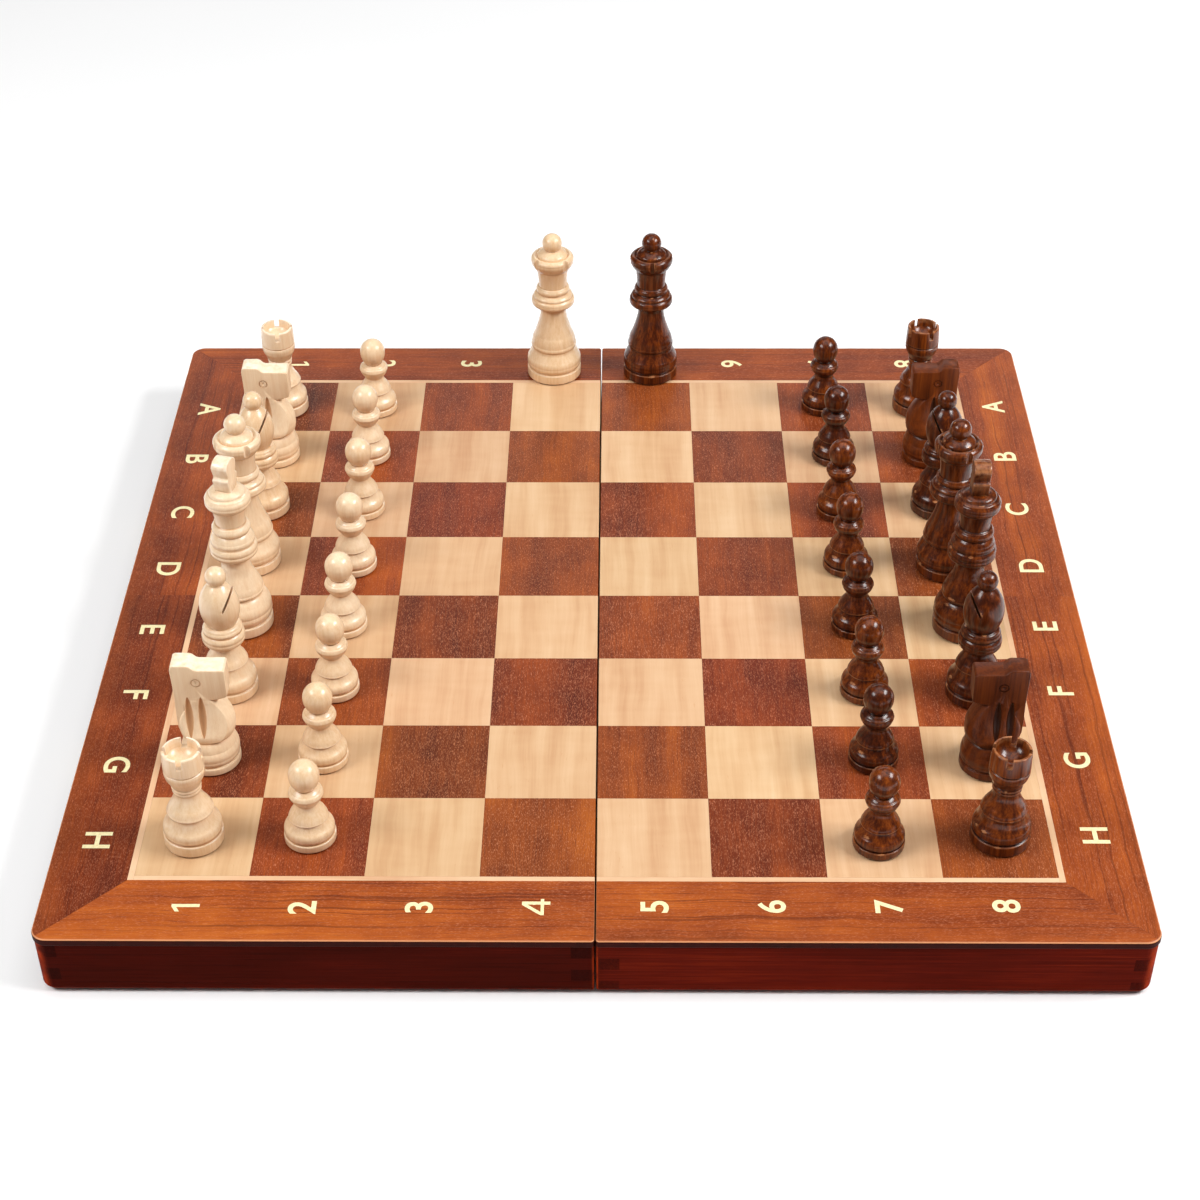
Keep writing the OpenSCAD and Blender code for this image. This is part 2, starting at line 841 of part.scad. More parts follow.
left_panel();
left_light_squares();
left_dark_squares();
left_border_veneer();
left_inlay_line();
left_side_rails();
left_end_rail();
left_spine_rail();
left_lining();
left_hinge_leaves();
hinge_pins();
left_screws();
right_panel();
right_light_squares();
right_dark_squares();
right_border_veneer();
right_inlay_line();
right_side_rails();
right_end_rail();
right_spine_rail();
right_lining();
right_hinge_leaves();
right_screws();
latch_pegs();
latch_hook_front();
latch_hook_back();
white_rook_a();
white_knight_b();
white_bishop_c();
white_queen();
white_king();
white_bishop_f();
white_knight_g();
white_rook_h();
white_pawn_a();
white_pawn_b();
white_pawn_c();
white_pawn_d();
white_pawn_e();
white_pawn_f();
white_pawn_g();
white_pawn_h();
white_spare_queen();
black_rook_a();
black_knight_b();
black_bishop_c();
black_queen();
black_king();
black_bishop_f();
black_knight_g();
black_rook_h();
black_pawn_a();
black_pawn_b();
black_pawn_c();
black_pawn_d();
black_pawn_e();
black_pawn_f();
black_pawn_g();
black_pawn_h();
black_spare_queen();
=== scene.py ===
"""Looks for the folding chess board and its pieces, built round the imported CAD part."""

import math

import bmesh
import bpy
from mathutils import Matrix, Vector


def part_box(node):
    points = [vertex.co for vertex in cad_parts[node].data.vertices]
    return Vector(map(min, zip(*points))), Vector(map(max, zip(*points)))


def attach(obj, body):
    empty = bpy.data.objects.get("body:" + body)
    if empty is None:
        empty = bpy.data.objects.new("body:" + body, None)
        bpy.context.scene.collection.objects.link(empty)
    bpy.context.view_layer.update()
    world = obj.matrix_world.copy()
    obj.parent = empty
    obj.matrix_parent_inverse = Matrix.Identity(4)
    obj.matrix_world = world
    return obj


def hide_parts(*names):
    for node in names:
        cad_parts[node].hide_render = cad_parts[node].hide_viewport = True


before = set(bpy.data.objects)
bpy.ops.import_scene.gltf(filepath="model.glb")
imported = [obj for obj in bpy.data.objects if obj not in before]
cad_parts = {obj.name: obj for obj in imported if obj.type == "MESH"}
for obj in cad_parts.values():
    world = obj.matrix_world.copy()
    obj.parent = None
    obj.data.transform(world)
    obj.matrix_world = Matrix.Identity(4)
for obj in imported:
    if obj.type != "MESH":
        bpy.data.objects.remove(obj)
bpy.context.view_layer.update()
MM = 0.001
# how far apart, in mm, two pieces of wood may come from in the plank
PLANK = 900.0
scene = bpy.context.scene


# ---- node materials --------------------------------------------------------


class Mat:
    """A node material being built. Its methods add a node and return its output socket."""

    def __init__(self, name, **plain):
        self.mat = bpy.data.materials.new(name)
        self.mat.use_nodes = True
        self.tree = self.mat.node_tree
        self.tree.nodes.clear()
        out = self.tree.nodes.new("ShaderNodeOutputMaterial")
        self.bsdf = self.tree.nodes.new("ShaderNodeBsdfPrincipled")
        self.tree.links.new(self.bsdf.outputs[0], out.inputs["Surface"])
        self.coord = self.tree.nodes.new("ShaderNodeTexCoord")
        for key, value in plain.items():
            self.put(key.replace("_", " "), value)

    def feed(self, socket, value):
        """Links value to socket if it is another socket, or else sets it there."""
        if isinstance(value, bpy.types.NodeSocket):
            self.tree.links.new(value, socket)
        elif isinstance(value, (int, float)):
            socket.default_value = value
        else:
            n = len(socket.default_value)
            socket.default_value = (tuple(value) + (1.0,))[:n]

    def put(self, name, value):
        self.feed(self.bsdf.inputs[name], value)

    def node(self, kind, inputs, **props):
        n = self.tree.nodes.new(kind)
        for key, value in props.items():
            setattr(n, key, value)
        for key, value in inputs.items():
            self.feed(n.inputs[key], value)
        return n

    def math(self, op, a, b=0.0, c=0.0):
        return self.node("ShaderNodeMath", {0: a, 1: b, 2: c}, operation=op).outputs[0]

    def vec(self, op, a, b=(0, 0, 0)):
        n = self.node("ShaderNodeVectorMath", {0: a, 1: b}, operation=op)
        return n.outputs[0]

    def xyz(self, v):
        n = self.node("ShaderNodeSeparateXYZ", {0: v})
        return n.outputs[0], n.outputs[1], n.outputs[2]

    def join(self, x=0.0, y=0.0, z=0.0):
        return self.node("ShaderNodeCombineXYZ", {0: x, 1: y, 2: z}).outputs[0]

    def noise(self, v, scale=1.0, detail=2.0, rough=0.5, twist=0.0):
        """Noise over v, which is stretched by a plain scale or by one for each axis."""
        if not isinstance(scale, (int, float)):
            v, scale = self.vec("MULTIPLY", v, scale), 1.0
        n = self.node("ShaderNodeTexNoise",
                      {"Vector": v, "Scale": scale, "Detail": detail, "Roughness": rough,
                       "Distortion": twist})
        return n.outputs[0]

    def dice(self, v):
        """Three even numbers from 0 to 1, the same wherever v is the same."""
        return self.node("ShaderNodeTexWhiteNoise", {"Vector": v}).outputs["Color"]

    def ramp(self, value, *stops):
        n = self.node("ShaderNodeValToRGB", {0: value})
        e = n.color_ramp.elements
        while len(e) < len(stops):
            e.new(0.5)
        for i, (at, colour) in enumerate(stops):
            e[i].position = at
            e[i].color = tuple(colour) + (1.0,)
        return n.outputs[0]

    def span(self, value, lo, hi, a=0.0, b=1.0):
        """value from lo to hi becomes a to b, held at both ends."""
        n = self.node("ShaderNodeMapRange", {0: value, 1: lo, 2: hi, 3: a, 4: b})
        return n.outputs[0]

    def mix(self, share, a, b):
        return self.node("ShaderNodeMix", {0: share, 6: a, 7: b}, data_type="RGBA").outputs[2]

    def tint(self, colour, hue=0.5, value=1.0, saturation=1.0):
        n = self.node("ShaderNodeHueSaturation",
                      {"Hue": hue, "Saturation": saturation, "Value": value, "Color": colour})
        return n.outputs[0]

    def bump(self, height, depth, strength=1.0):
        n = self.node("ShaderNodeBump",
                      {"Height": height, "Distance": depth, "Strength": strength})
        self.put("Normal", n.outputs[0])

    def mm(self):
        """Place in the piece's own frame, in millimetres."""
        return self.vec("MULTIPLY", self.coord.outputs["Object"], (1000, 1000, 1000))


def srgb(r, g, b):
    """Linear colour of an 8-bit sRGB one."""
    def one(c):
        c /= 255
        return c / 12.92 if c <= 0.04045 else ((c + 0.055) / 1.055) ** 2.4
    return one(r), one(g), one(b)


def shift(m, place, dice):
    """place moved to another part of the plank, as the three dice say."""
    return m.vec("ADD", place, m.vec("MULTIPLY", dice, (PLANK, PLANK, PLANK)))


def mahogany(m, place, tone, lines=0.0, flecks=0.42):
    """Sapele-like veneer with its grain along Y of place. tone 0 is dark brown and 1 is orange,
    lines is the strength of long dark grain lines and flecks that of pale pores.
    Returns (colour, height)."""
    sway = m.noise(place, (0.05, 0.03, 0.05), 2)
    x, y, z = m.xyz(place)
    wavy = m.join(m.math("MULTIPLY_ADD", sway, 5.0, x), y, z)
    band = m.noise(wavy, (0.055, 0.004, 0.055), 1.5, 0.55)
    grain = m.noise(wavy, (1.5, 0.035, 1.5), 3, 0.6)
    fine = m.noise(place, (5.0, 0.25, 5.0), 2, 0.6)
    cloud = m.noise(place, (0.07, 0.05, 0.07), 2, 0.5)
    t = m.math("MULTIPLY_ADD", m.span(band, 0.3, 0.7), 0.36, m.math("MULTIPLY", grain, 0.5))
    t = m.math("MULTIPLY_ADD", m.math("SUBTRACT", cloud, 0.5), 0.40, t)
    t = m.math("MULTIPLY_ADD", m.math("SUBTRACT", fine, 0.5), 0.30, t)
    t = m.math("ADD", t, m.math("MULTIPLY_ADD", tone, 0.5, -0.22))
    colour = m.ramp(t, (0.05, srgb(74, 24, 12)), (0.3, srgb(107, 43, 18)),
                    (0.52, srgb(138, 62, 25)), (0.75, srgb(166, 81, 28)),
                    (1.0, srgb(194, 106, 38)))
    # pores: short pale dashes along the grain, thickest where the band is dark
    dash = m.noise(wavy, (3.6, 0.75, 3.6), 1, 0.4, 0.6)
    crowd = m.span(band, 0.35, 0.62, 0.05, 0.0)
    pores = m.span(m.math("ADD", dash, crowd), 0.60, 0.70)
    dark_dash = m.span(m.noise(place, (2.6, 0.16, 2.6), 1), 0.64, 0.74)
    colour = m.mix(m.math("MULTIPLY", dark_dash, 0.4), colour, srgb(62, 20, 12))
    colour = m.mix(m.math("MULTIPLY", pores, flecks), colour, srgb(214, 140, 104))
    if lines:
        streak = m.noise(wavy, (1.0, 0.005, 1.0), 1, 0.5)
        streak = m.math("MULTIPLY", m.span(streak, 0.60, 0.68), lines)
        colour = m.mix(streak, colour, srgb(70, 24, 14))
    height = m.math("SUBTRACT", m.math("MULTIPLY", grain, 0.4), m.math("MULTIPLY", dark_dash, 0.6))
    return colour, height


def maple(m, place):
    """Pale veneer with its grain along Y of place. Returns (colour, height)."""
    x, y, z = m.xyz(place)
    sway = m.noise(place, (0.03, 0.02, 0.03), 2)
    wavy = m.join(m.math("MULTIPLY_ADD", sway, 6.0, x), y, z)
    band = m.noise(wavy, (0.12, 0.008, 0.12), 2, 0.55)
    grain = m.noise(wavy, (1.1, 0.03, 1.1), 3, 0.6)
    curl = m.noise(place, (0.05, 0.16, 0.05), 1.5, 0.5)
    t = m.math("MULTIPLY_ADD", m.span(band, 0.3, 0.7), 0.5, m.math("MULTIPLY", grain, 0.35))
    t = m.math("MULTIPLY_ADD", m.math("SUBTRACT", curl, 0.5), 0.25, t)
    colour = m.ramp(t, (0.1, srgb(194, 149, 108)), (0.42, srgb(207, 167, 126)),
                    (0.62, srgb(213, 176, 136)), (0.95, srgb(222, 189, 152)))
    speck = m.span(m.noise(place, (1.3, 0.22, 1.3), 1), 0.70, 0.78)
    colour = m.mix(m.math("MULTIPLY", speck, 0.3), colour, srgb(196, 142, 92))
    return colour, m.math("SUBTRACT", m.math("MULTIPLY", grain, 0.5), speck)


def cell_dice(m, place, pitch, gap, seed):
    """Three random numbers for the square that place is in."""
    x, y, _ = m.xyz(place)
    x = m.math("SUBTRACT", x, m.math("MULTIPLY", m.math("SIGN", x), gap))
    column = m.math("FLOOR", m.math("DIVIDE", x, pitch))
    row = m.math("FLOOR", m.math("DIVIDE", y, pitch))
    return m.dice(m.join(column, row, seed))


def dark_square_mat(pitch, gap):
    m = Mat("mahogany_veneer", Specular_IOR_Level=0.2, Coat_Weight=0.08, Coat_Roughness=0.28)
    place = m.mm()
    dice = cell_dice(m, place, pitch, gap, 3.0)
    tone, warm, _ = m.xyz(dice)
    colour, height = mahogany(m, shift(m, place, dice), m.span(tone, 0, 1, 0.25, 0.6))
    colour = m.tint(colour, m.span(warm, 0, 1, 0.497, 0.506))
    m.put("Base Color", colour)
    m.put("Roughness", m.math("MULTIPLY_ADD", height, 0.12, 0.36))
    m.bump(height, 0.00012, 0.6)
    return m.mat


def light_square_mat(pitch, gap):
    m = Mat("maple_veneer", Specular_IOR_Level=0.2, Coat_Weight=0.08, Coat_Roughness=0.28)
    place = m.mm()
    dice = cell_dice(m, place, pitch, gap, 8.0)
    colour, height = maple(m, shift(m, place, dice))
    value, warm, _ = m.xyz(dice)
    m.put("Base Color", m.tint(colour, m.span(warm, 0, 1, 0.494, 0.503),
                               m.span(value, 0, 1, 0.95, 1.03)))
    m.put("Roughness", m.math("MULTIPLY_ADD", height, 0.1, 0.36))
    m.bump(height, 0.00008, 0.5)
    return m.mat


def border_mat(x0, y0, top):
    """Border strips outside x0 and y0, their face at height top, all in mm. The grain runs along
    each strip, and changes at the mitres."""
    m = Mat("border_veneer", Specular_IOR_Level=0.15, Coat_Weight=0.08, Coat_Roughness=0.25)
    place = m.mm()
    x, y, z = m.xyz(place)
    ax, ay = m.math("ABSOLUTE", x), m.math("ABSOLUTE", y)
    side = m.math("GREATER_THAN", m.math("SUBTRACT", ax, x0), m.math("SUBTRACT", ay, y0))
    along = m.mix(side, m.join(y, x, z), m.join(x, y, z))
    sx, sy = m.math("SIGN", x), m.math("SIGN", y)
    # each strip has its own tone, partly the veneer's own and partly painted light: the front is
    # more orange than the back, the right end more than the left, and the left part of the front
    # more than its right part
    lean = m.math("MULTIPLY", m.math("MULTIPLY_ADD", sy, 0.04, -0.04), sx)
    long_tone_and_light = m.math("ADD", lean, m.math("MULTIPLY_ADD", sy, -0.14, 0.64))
    end_tone_and_light = m.math("MULTIPLY_ADD", sx, 0.17, 0.51)
    tone = m.xyz(m.mix(side, m.join(long_tone_and_light), m.join(end_tone_and_light)))[0]
    long_strip = m.math("SUBTRACT", 1.0, side)
    dice = m.dice(m.join(m.math("MULTIPLY", sx, 2.0), m.math("MULTIPLY", sy, long_strip), side))
    colour, height = mahogany(m, shift(m, along, dice), tone, 0.5, 0.3)
    # the lacquer is rubbed thin towards the outer edge
    rub = m.math("MAXIMUM", m.math("SUBTRACT", ax, x0), m.math("SUBTRACT", ay, y0))
    rub = m.math("MULTIPLY", m.span(rub, 25, 36), m.noise(place, 0.15, 2))
    colour = m.mix(m.math("MULTIPLY", rub, 0.5), colour, srgb(182, 92, 36))
    # and a light line on the rounded edge itself, partly worn through and partly a painted
    # highlight
    worn_edge_highlight = m.math("MULTIPLY", m.span(z, top - 0.7, top - 0.5),
                  m.span(z, top - 0.2, top - 0.08, 1, 0))
    colour = m.mix(m.math("MULTIPLY", worn_edge_highlight, 0.75), colour, srgb(224, 158, 112))
    m.put("Base Color", colour)
    m.put("Roughness", m.math("MULTIPLY_ADD", height, 0.12, 0.34))
    m.bump(height, 0.00012, 0.6)
    return m.mat


def inlay_mat(x0):
    """Light line round the field. Past x0 mm its grain runs along Y, and elsewhere along X."""
    m = Mat("inlay_line", Specular_IOR_Level=0.3, Roughness=0.36)
    place = m.mm()
    x, y, z = m.xyz(place)
    side = m.math("GREATER_THAN", m.math("ABSOLUTE", x), x0)
    colour, height = maple(m, m.mix(side, m.join(y, x, z), place))
    m.put("Base Color", m.tint(colour, 0.497, 1.12, 0.95))
    m.bump(height, 0.00008, 0.4)
    return m.mat


def wall_mat(name, along, tone):
    """Stained solid wood. Its grain runs along X or Y, and faces across it show end grain."""
    m = Mat(name, Specular_IOR_Level=0.012)
    place = m.mm()
    x, y, z = m.xyz(place)
    nx, ny, nz = m.xyz(m.coord.outputs["Normal"])
    facing = m.math("ABSOLUTE", nx if along == "x" else ny)
    end = m.math("GREATER_THAN", facing, 0.92)
    a, b = (x, y) if along == "x" else (y, x)
    run = m.join(m.math("ADD", m.noise(place, 0.02, 2), b), a, z)
    grain = m.noise(run, (0.9, 0.012, 0.9), 3, 0.6)
    fine = m.noise(run, (3.4, 0.06, 3.4), 2, 0.6)
    cloud = m.noise(run, (0.06, 0.012, 0.06), 2)
    t = m.math("ADD", m.math("MULTIPLY", grain, 0.55), m.math("MULTIPLY", cloud, 0.45))
    t = m.math("MULTIPLY_ADD", m.math("SUBTRACT", fine, 0.5), 0.35, t)
    # tone shifts the whole wall, and carries painted light: the right half's walls are lighter
    t = m.math("ADD", t, tone - 0.5)
    colour = m.ramp(t, (0.15, srgb(48, 9, 3)), (0.45, srgb(72, 15, 6)),
                    (0.65, srgb(96, 22, 9)), (0.95, srgb(132, 40, 14)))
    rings = m.noise(place, (1.2, 1.2, 1.2), 3, 0.6)
    ends = m.ramp(rings, (0.3, srgb(16, 3, 2)), (0.7, srgb(40, 8, 4)))
    colour = m.mix(m.math("MULTIPLY", end, 0.55), colour, ends)
    # stain rubbed off, and painted light, where the corners are rounded, which is where no side is
    # faced squarely
    square = m.math("MAXIMUM", m.math("MAXIMUM", m.math("ABSOLUTE", nx), m.math("ABSOLUTE", ny)),
                    m.math("ABSOLUTE", nz))
    wear_and_light = m.math("MULTIPLY", m.span(square, 0.99, 0.82), m.span(m.noise(place, 0.2, 2), 0.2, 0.6))
    colour = m.mix(m.math("MULTIPLY", wear_and_light, 0.75), colour, srgb(168, 54, 18))
    m.put("Base Color", colour)
    m.put("Roughness", m.math("MULTIPLY_ADD", grain, 0.16, 0.42))
    m.bump(m.math("ADD", grain, m.math("MULTIPLY", fine, 0.4)), 0.0001, 0.7)
    return m.mat


def edge_mat():
    """Panel core: dark stained edge, and the raw underside inside the box."""
    m = Mat("panel_wood", Specular_IOR_Level=0.05)
    place = m.mm()
    grain = m.noise(place, (0.05, 0.05, 1.6), 3, 0.6)
    spot = m.noise(place, 0.3, 2)
    t = m.math("MULTIPLY_ADD", spot, 0.4, m.math("MULTIPLY", grain, 0.6))
    m.put("Base Color", m.ramp(t, (0.3, srgb(36, 6, 2)), (0.7, srgb(64, 14, 6))))
    m.put("Roughness", m.math("MULTIPLY_ADD", grain, 0.2, 0.36))
    m.bump(grain, 0.00008, 0.6)
    return m.mat


def felt_mat(name, base, dark):
    """Wool felt, its fuzz mottled between base and dark."""
    m = Mat(name, Roughness=1.0, Specular_IOR_Level=0.1, Sheen_Weight=0.4, Sheen_Roughness=0.5)
    place = m.mm()
    fuzz = m.noise(place, 2.2, 5, 0.75)
    cloud = m.noise(place, 0.08, 2)
    t = m.math("MULTIPLY_ADD", cloud, 0.35, m.math("MULTIPLY", fuzz, 0.65))
    m.put("Base Color", m.ramp(t, (0.3, dark), (0.7, base)))
    m.bump(fuzz, 0.0003, 0.8)
    return m.mat


def brass_mat():
    """Brushed brass, a little tarnished in clouds."""
    m = Mat("brass", Metallic=1.0)
    place = m.mm()
    cloud = m.noise(place, 0.25, 3)
    brushed = m.noise(place, (6.0, 0.3, 6.0), 2)
    t = m.math("MULTIPLY_ADD", cloud, 0.7, m.math("MULTIPLY", brushed, 0.3))
    m.put("Base Color", m.ramp(t, (0.3, (0.50, 0.33, 0.12)), (0.7, (0.83, 0.60, 0.27))))
    m.put("Roughness", m.span(t, 0.3, 0.7, 0.42, 0.22))
    m.bump(brushed, 0.00005, 0.5)
    return m.mat


def print_mat():
    """Pale ink of the coordinates, slightly worn."""
    m = Mat("pale_print", Roughness=0.4, Specular_IOR_Level=0.3)
    place = m.mm()
    worn = m.noise(place, 0.9, 3, 0.6)
    m.put("Base Color", m.ramp(worn, (0.3, srgb(224, 210, 156)), (0.6, srgb(238, 228, 180))))
    m.bump(worn, 0.00003, 0.4)
    return m.mat


# knight: half thickness of the head, height where its cheeks start to sweep outwards, and
# radius of that sweep, in mm
CHEEK = 5.1
SWEEP_Z = 41.0
SWEEP_R = 52


def turned_wood(name, stops, ring_share, streak, coat, rough, spec, worn, painted_shade, carved=False):
    """Lacquered wood of a turned piece: growth rings cut by the turning, streaks up the grain,
    edges rubbed lighter, and painted shade in the grooves and on the undersides. Each piece is
    cut from another part of the plank. A carved piece is duller, with painted light on the
    upward face of its head and painted shade in its grooves."""
    m = Mat(name, Coat_Weight=coat, Coat_Roughness=rough * 0.7, Coat_IOR=1.5,
            Specular_IOR_Level=spec)
    own = m.node("ShaderNodeObjectInfo", {}).outputs["Random"]
    place = m.mm()
    dice = m.dice(m.join(own, 0.3, 0.7))
    x, y, z = m.xyz(place)
    turn = m.math("MULTIPLY", own, 40.0)
    c, s = m.math("COSINE", turn), m.math("SINE", turn)
    across = m.math("ADD", m.math("MULTIPLY", x, c), m.math("MULTIPLY", y, s))
    moved = shift(m, place, dice)
    sway = m.noise(moved, (0.05, 0.05, 0.02), 2)
    ring = m.math("MULTIPLY_ADD", sway, 9.0, across)
    ring = m.math("MULTIPLY_ADD", m.math("SINE", m.math("MULTIPLY", ring, 1.15)), 0.5, 0.5)
    streaks = m.noise(moved, (0.8, 0.8, 0.035), 3, 0.62)
    fine = m.noise(moved, (3.2, 3.2, 0.12), 2, 0.6)
    level = 0.5 - 0.5 * ring_share - 0.5 * streak
    t = m.math("MULTIPLY_ADD", ring, ring_share, m.math("MULTIPLY_ADD", streaks, streak, level))
    t = m.math("MULTIPLY_ADD", m.math("SUBTRACT", fine, 0.5), 0.22, t)
    t = m.math("MULTIPLY_ADD", m.math("SUBTRACT", own, 0.5), 0.2, t)
    colour = m.ramp(t, *stops)
    up = m.xyz(m.coord.outputs["Normal"])[2]
    if carved:
        # painted light on the upward face of the head, and painted shade in the groove over the
        # foot
        wear_and_light = m.math("MULTIPLY", m.span(up, 0.5, 0.95), m.span(z, 54, 57))
        groove = m.math("MULTIPLY", m.span(z, 20.5, 18), m.span(z, 16.6, 17.6))
        # how far a point lies under the swept side of the carving, where painted shade goes
        below = m.math("MAXIMUM", m.math("SUBTRACT", SWEEP_Z, z), 0.0)
        side = m.math("MULTIPLY_ADD", m.math("MULTIPLY", below, below), 0.5 / SWEEP_R, CHEEK)
        cut = m.span(m.math("SUBTRACT", side, m.math("ABSOLUTE", y)), 0.1, 0.6)
        near = m.span(m.math("ABSOLUTE", m.math("ADD", x, 3.3)), 5.6, 5.2)
        tall = m.math("MULTIPLY", m.span(z, 18.5, 19), m.span(z, 54, 53))
        carving = m.math("MULTIPLY", cut, m.math("MULTIPLY", near, tall))
        groove = m.math("MAXIMUM", groove, carving)
    else:
        bend = m.node("ShaderNodeNewGeometry", {}).outputs["Pointiness"]
        # convex edges rubbed lighter, and painted shade in the concave grooves
        wear_and_light = m.span(bend, 0.515, 0.57)
        groove = m.span(bend, 0.496, 0.46)
    wear_and_light = m.math("MULTIPLY", wear_and_light, m.span(m.noise(moved, 0.35, 2), 0.3, 0.6))
    # edges rubbed lighter; on a carved head this is painted light on its upward face
    colour = m.mix(m.math("MULTIPLY", wear_and_light, 0.6), colour, worn)
    # painted shade darkens the grooves
    colour = m.mix(m.math("MULTIPLY", groove, 0.75), colour, painted_shade)
    # painted shade on the undersides, deeper the more they face down
    colour = m.mix(m.span(up, 0.1, -0.6, 0.0, 0.5), colour, painted_shade)
    m.put("Base Color", colour)
    m.put("Roughness", m.math("MULTIPLY_ADD", fine, 0.12, rough))
    m.bump(m.math("ADD", streaks, m.math("MULTIPLY", fine, 0.5)), 0.00006, 0.6)
    return m.mat


# ---- meshes ----------------------------------------------------------------


def to_object(bm, name):
    """Object in the scene with bm's mesh, its faces turned outwards."""
    bmesh.ops.recalc_face_normals(bm, faces=bm.faces)
    mesh = bpy.data.meshes.new(name)
    bm.to_mesh(mesh)
    bm.free()
    o = bpy.data.objects.new(name, mesh)
    scene.collection.objects.link(o)
    return o


def settle(o):
    """Applies o's modifiers to its mesh."""
    bpy.context.view_layer.update()
    dg = bpy.context.evaluated_depsgraph_get()
    mesh = bpy.data.meshes.new_from_object(o.evaluated_get(dg))
    o.modifiers.clear()
    o.data = mesh


def weld(o):
    """Joins the doubled points of a CAD mesh, which the modifiers after it need."""
    o.modifiers.new("weld", "WELD").merge_threshold = 1e-6


def round_edges(o, name, width, segments, angle):
    """Bevel of width metres along the edges that are sharper than angle degrees."""
    mod = o.modifiers.new(name, "BEVEL")
    mod.width = width
    mod.segments = segments
    mod.limit_method = "ANGLE"
    mod.angle_limit = math.radians(angle)


# ---- board -----------------------------------------------------------------

top_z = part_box("left_border_veneer")[1].z
panel_lo, panel_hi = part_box("left_panel")
half_l, half_d = -panel_lo.x, panel_hi.y
seam = -panel_hi.x
rail_lo, rail_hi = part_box("left_side_rails")
inlay_lo, inlay_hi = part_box("left_inlay_line")
field_lo, field_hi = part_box("left_light_squares")
pitch = (field_hi.y - field_lo.y) / 8
pitch_mm = round(pitch / MM, 1)
strip_x, strip_y = -inlay_lo.x / MM, inlay_hi.y / MM

# radii of the board's corners, seen from above, and of the edges that are rounded along them
OUTER_R, SEAM_R = 7 * MM, 1.5 * MM
PANEL_LOW_R, PANEL_TOP_R, RAIL_LOW_R = 0.8 * MM, 1.1 * MM, 2.5 * MM
BARELY_ROUND = 0.01 * MM
# chords in a rounded edge, and in a corner
EDGE_STEPS, CORNER_STEPS = 8, 12
# the right half's walls are lighter, as painted light from the right
WALL_TONES_AND_LIGHT = {"left": 0.38, "right": 0.6}

BOARD_MATS = {
    "light_squares": light_square_mat(pitch_mm, seam / MM),
    "dark_squares": dark_square_mat(pitch_mm, seam / MM),
    "border_veneer": border_mat(strip_x, strip_y, top_z / MM),
    "inlay_line": inlay_mat(-field_lo.x / MM),
    "panel": edge_mat(),
    "lining": felt_mat("felt_lining", srgb(52, 96, 62), srgb(26, 56, 34)),
    "hinge_leaves": brass_mat(),
}
brass = BOARD_MATS["hinge_leaves"]
for s, tone in WALL_TONES_AND_LIGHT.items():
    for rail, along in (("side_rails", "x"), ("end_rail", "y"), ("spine_rail", "y")):
        BOARD_MATS[f"{s}_{rail}"] = wall_mat(f"{s}_{rail}", along, tone)


def envelope(name, s, inset, z0, z1, low_r, high_r):
    """Solid of one half, inset from its outline, with its lower and upper edges rounded, to cut
    the square corners of the CAD parts with. It isn't shown."""
    body = "left_half" if s < 0 else "right_half"
    far, deep = half_l - inset, half_d - inset
    rings = []
    for r, z, way in ((low_r, z0, 1), (high_r, z1, -1)):
        level = [(r * (1 - math.sin(a)), z + way * r * (1 - math.cos(a)))
                 for a in (math.pi / 2 * i / EDGE_STEPS for i in range(EDGE_STEPS + 1))]
        rings += level if way > 0 else level[::-1]
    bm = bmesh.new()
    loops = []
    for d, z in rings:
        near = seam + 0.35 * d
        ring = []
        # corners anticlockwise, seen from above, for the right half
        for cx, cy, px, py, r in (
            (far - d, deep - d, 1, 1, OUTER_R), (near, deep - d, -1, 1, SEAM_R),
            (near, -deep + d, -1, -1, SEAM_R), (far - d, -deep + d, 1, -1, OUTER_R),
        ):
            r = max(r - inset - d * 0.6, 0.3 * MM)
            start = {(1, 1): 0, (-1, 1): 90, (-1, -1): 180, (1, -1): 270}[px, py]
            for i in range(CORNER_STEPS + 1):
                a = math.radians(start + 90 * i / CORNER_STEPS)
                ring.append((cx - px * r + r * math.cos(a), cy - py * r + r * math.sin(a)))
        if s < 0:
            ring = [(-x, y) for x, y in ring][::-1]
        loops.append([bm.verts.new((x, y, z)) for x, y in ring])
    for a, b in zip(loops, loops[1:]):
        for i in range(len(a)):
            j = (i + 1) % len(a)
            bm.faces.new((a[i], a[j], b[j], b[i]))
    bm.faces.new(loops[0][::-1])
    bm.faces.new(loops[-1])
    o = to_object(bm, name)
    o.hide_render = True
    o.display_type = "WIRE"
    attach(o, body)
    return o


def trim(node, cutter):
    """Cuts a CAD node down to the inside of cutter, with modifiers only."""
    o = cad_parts[node]
    weld(o)
    cut = o.modifiers.new("rounded", "BOOLEAN")
    cut.operation = "INTERSECT"
    cut.solver = "EXACT"
    cut.object = cutter


def paint(node, material):
    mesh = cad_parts[node].data
    mesh.materials.clear()
    mesh.materials.append(material)


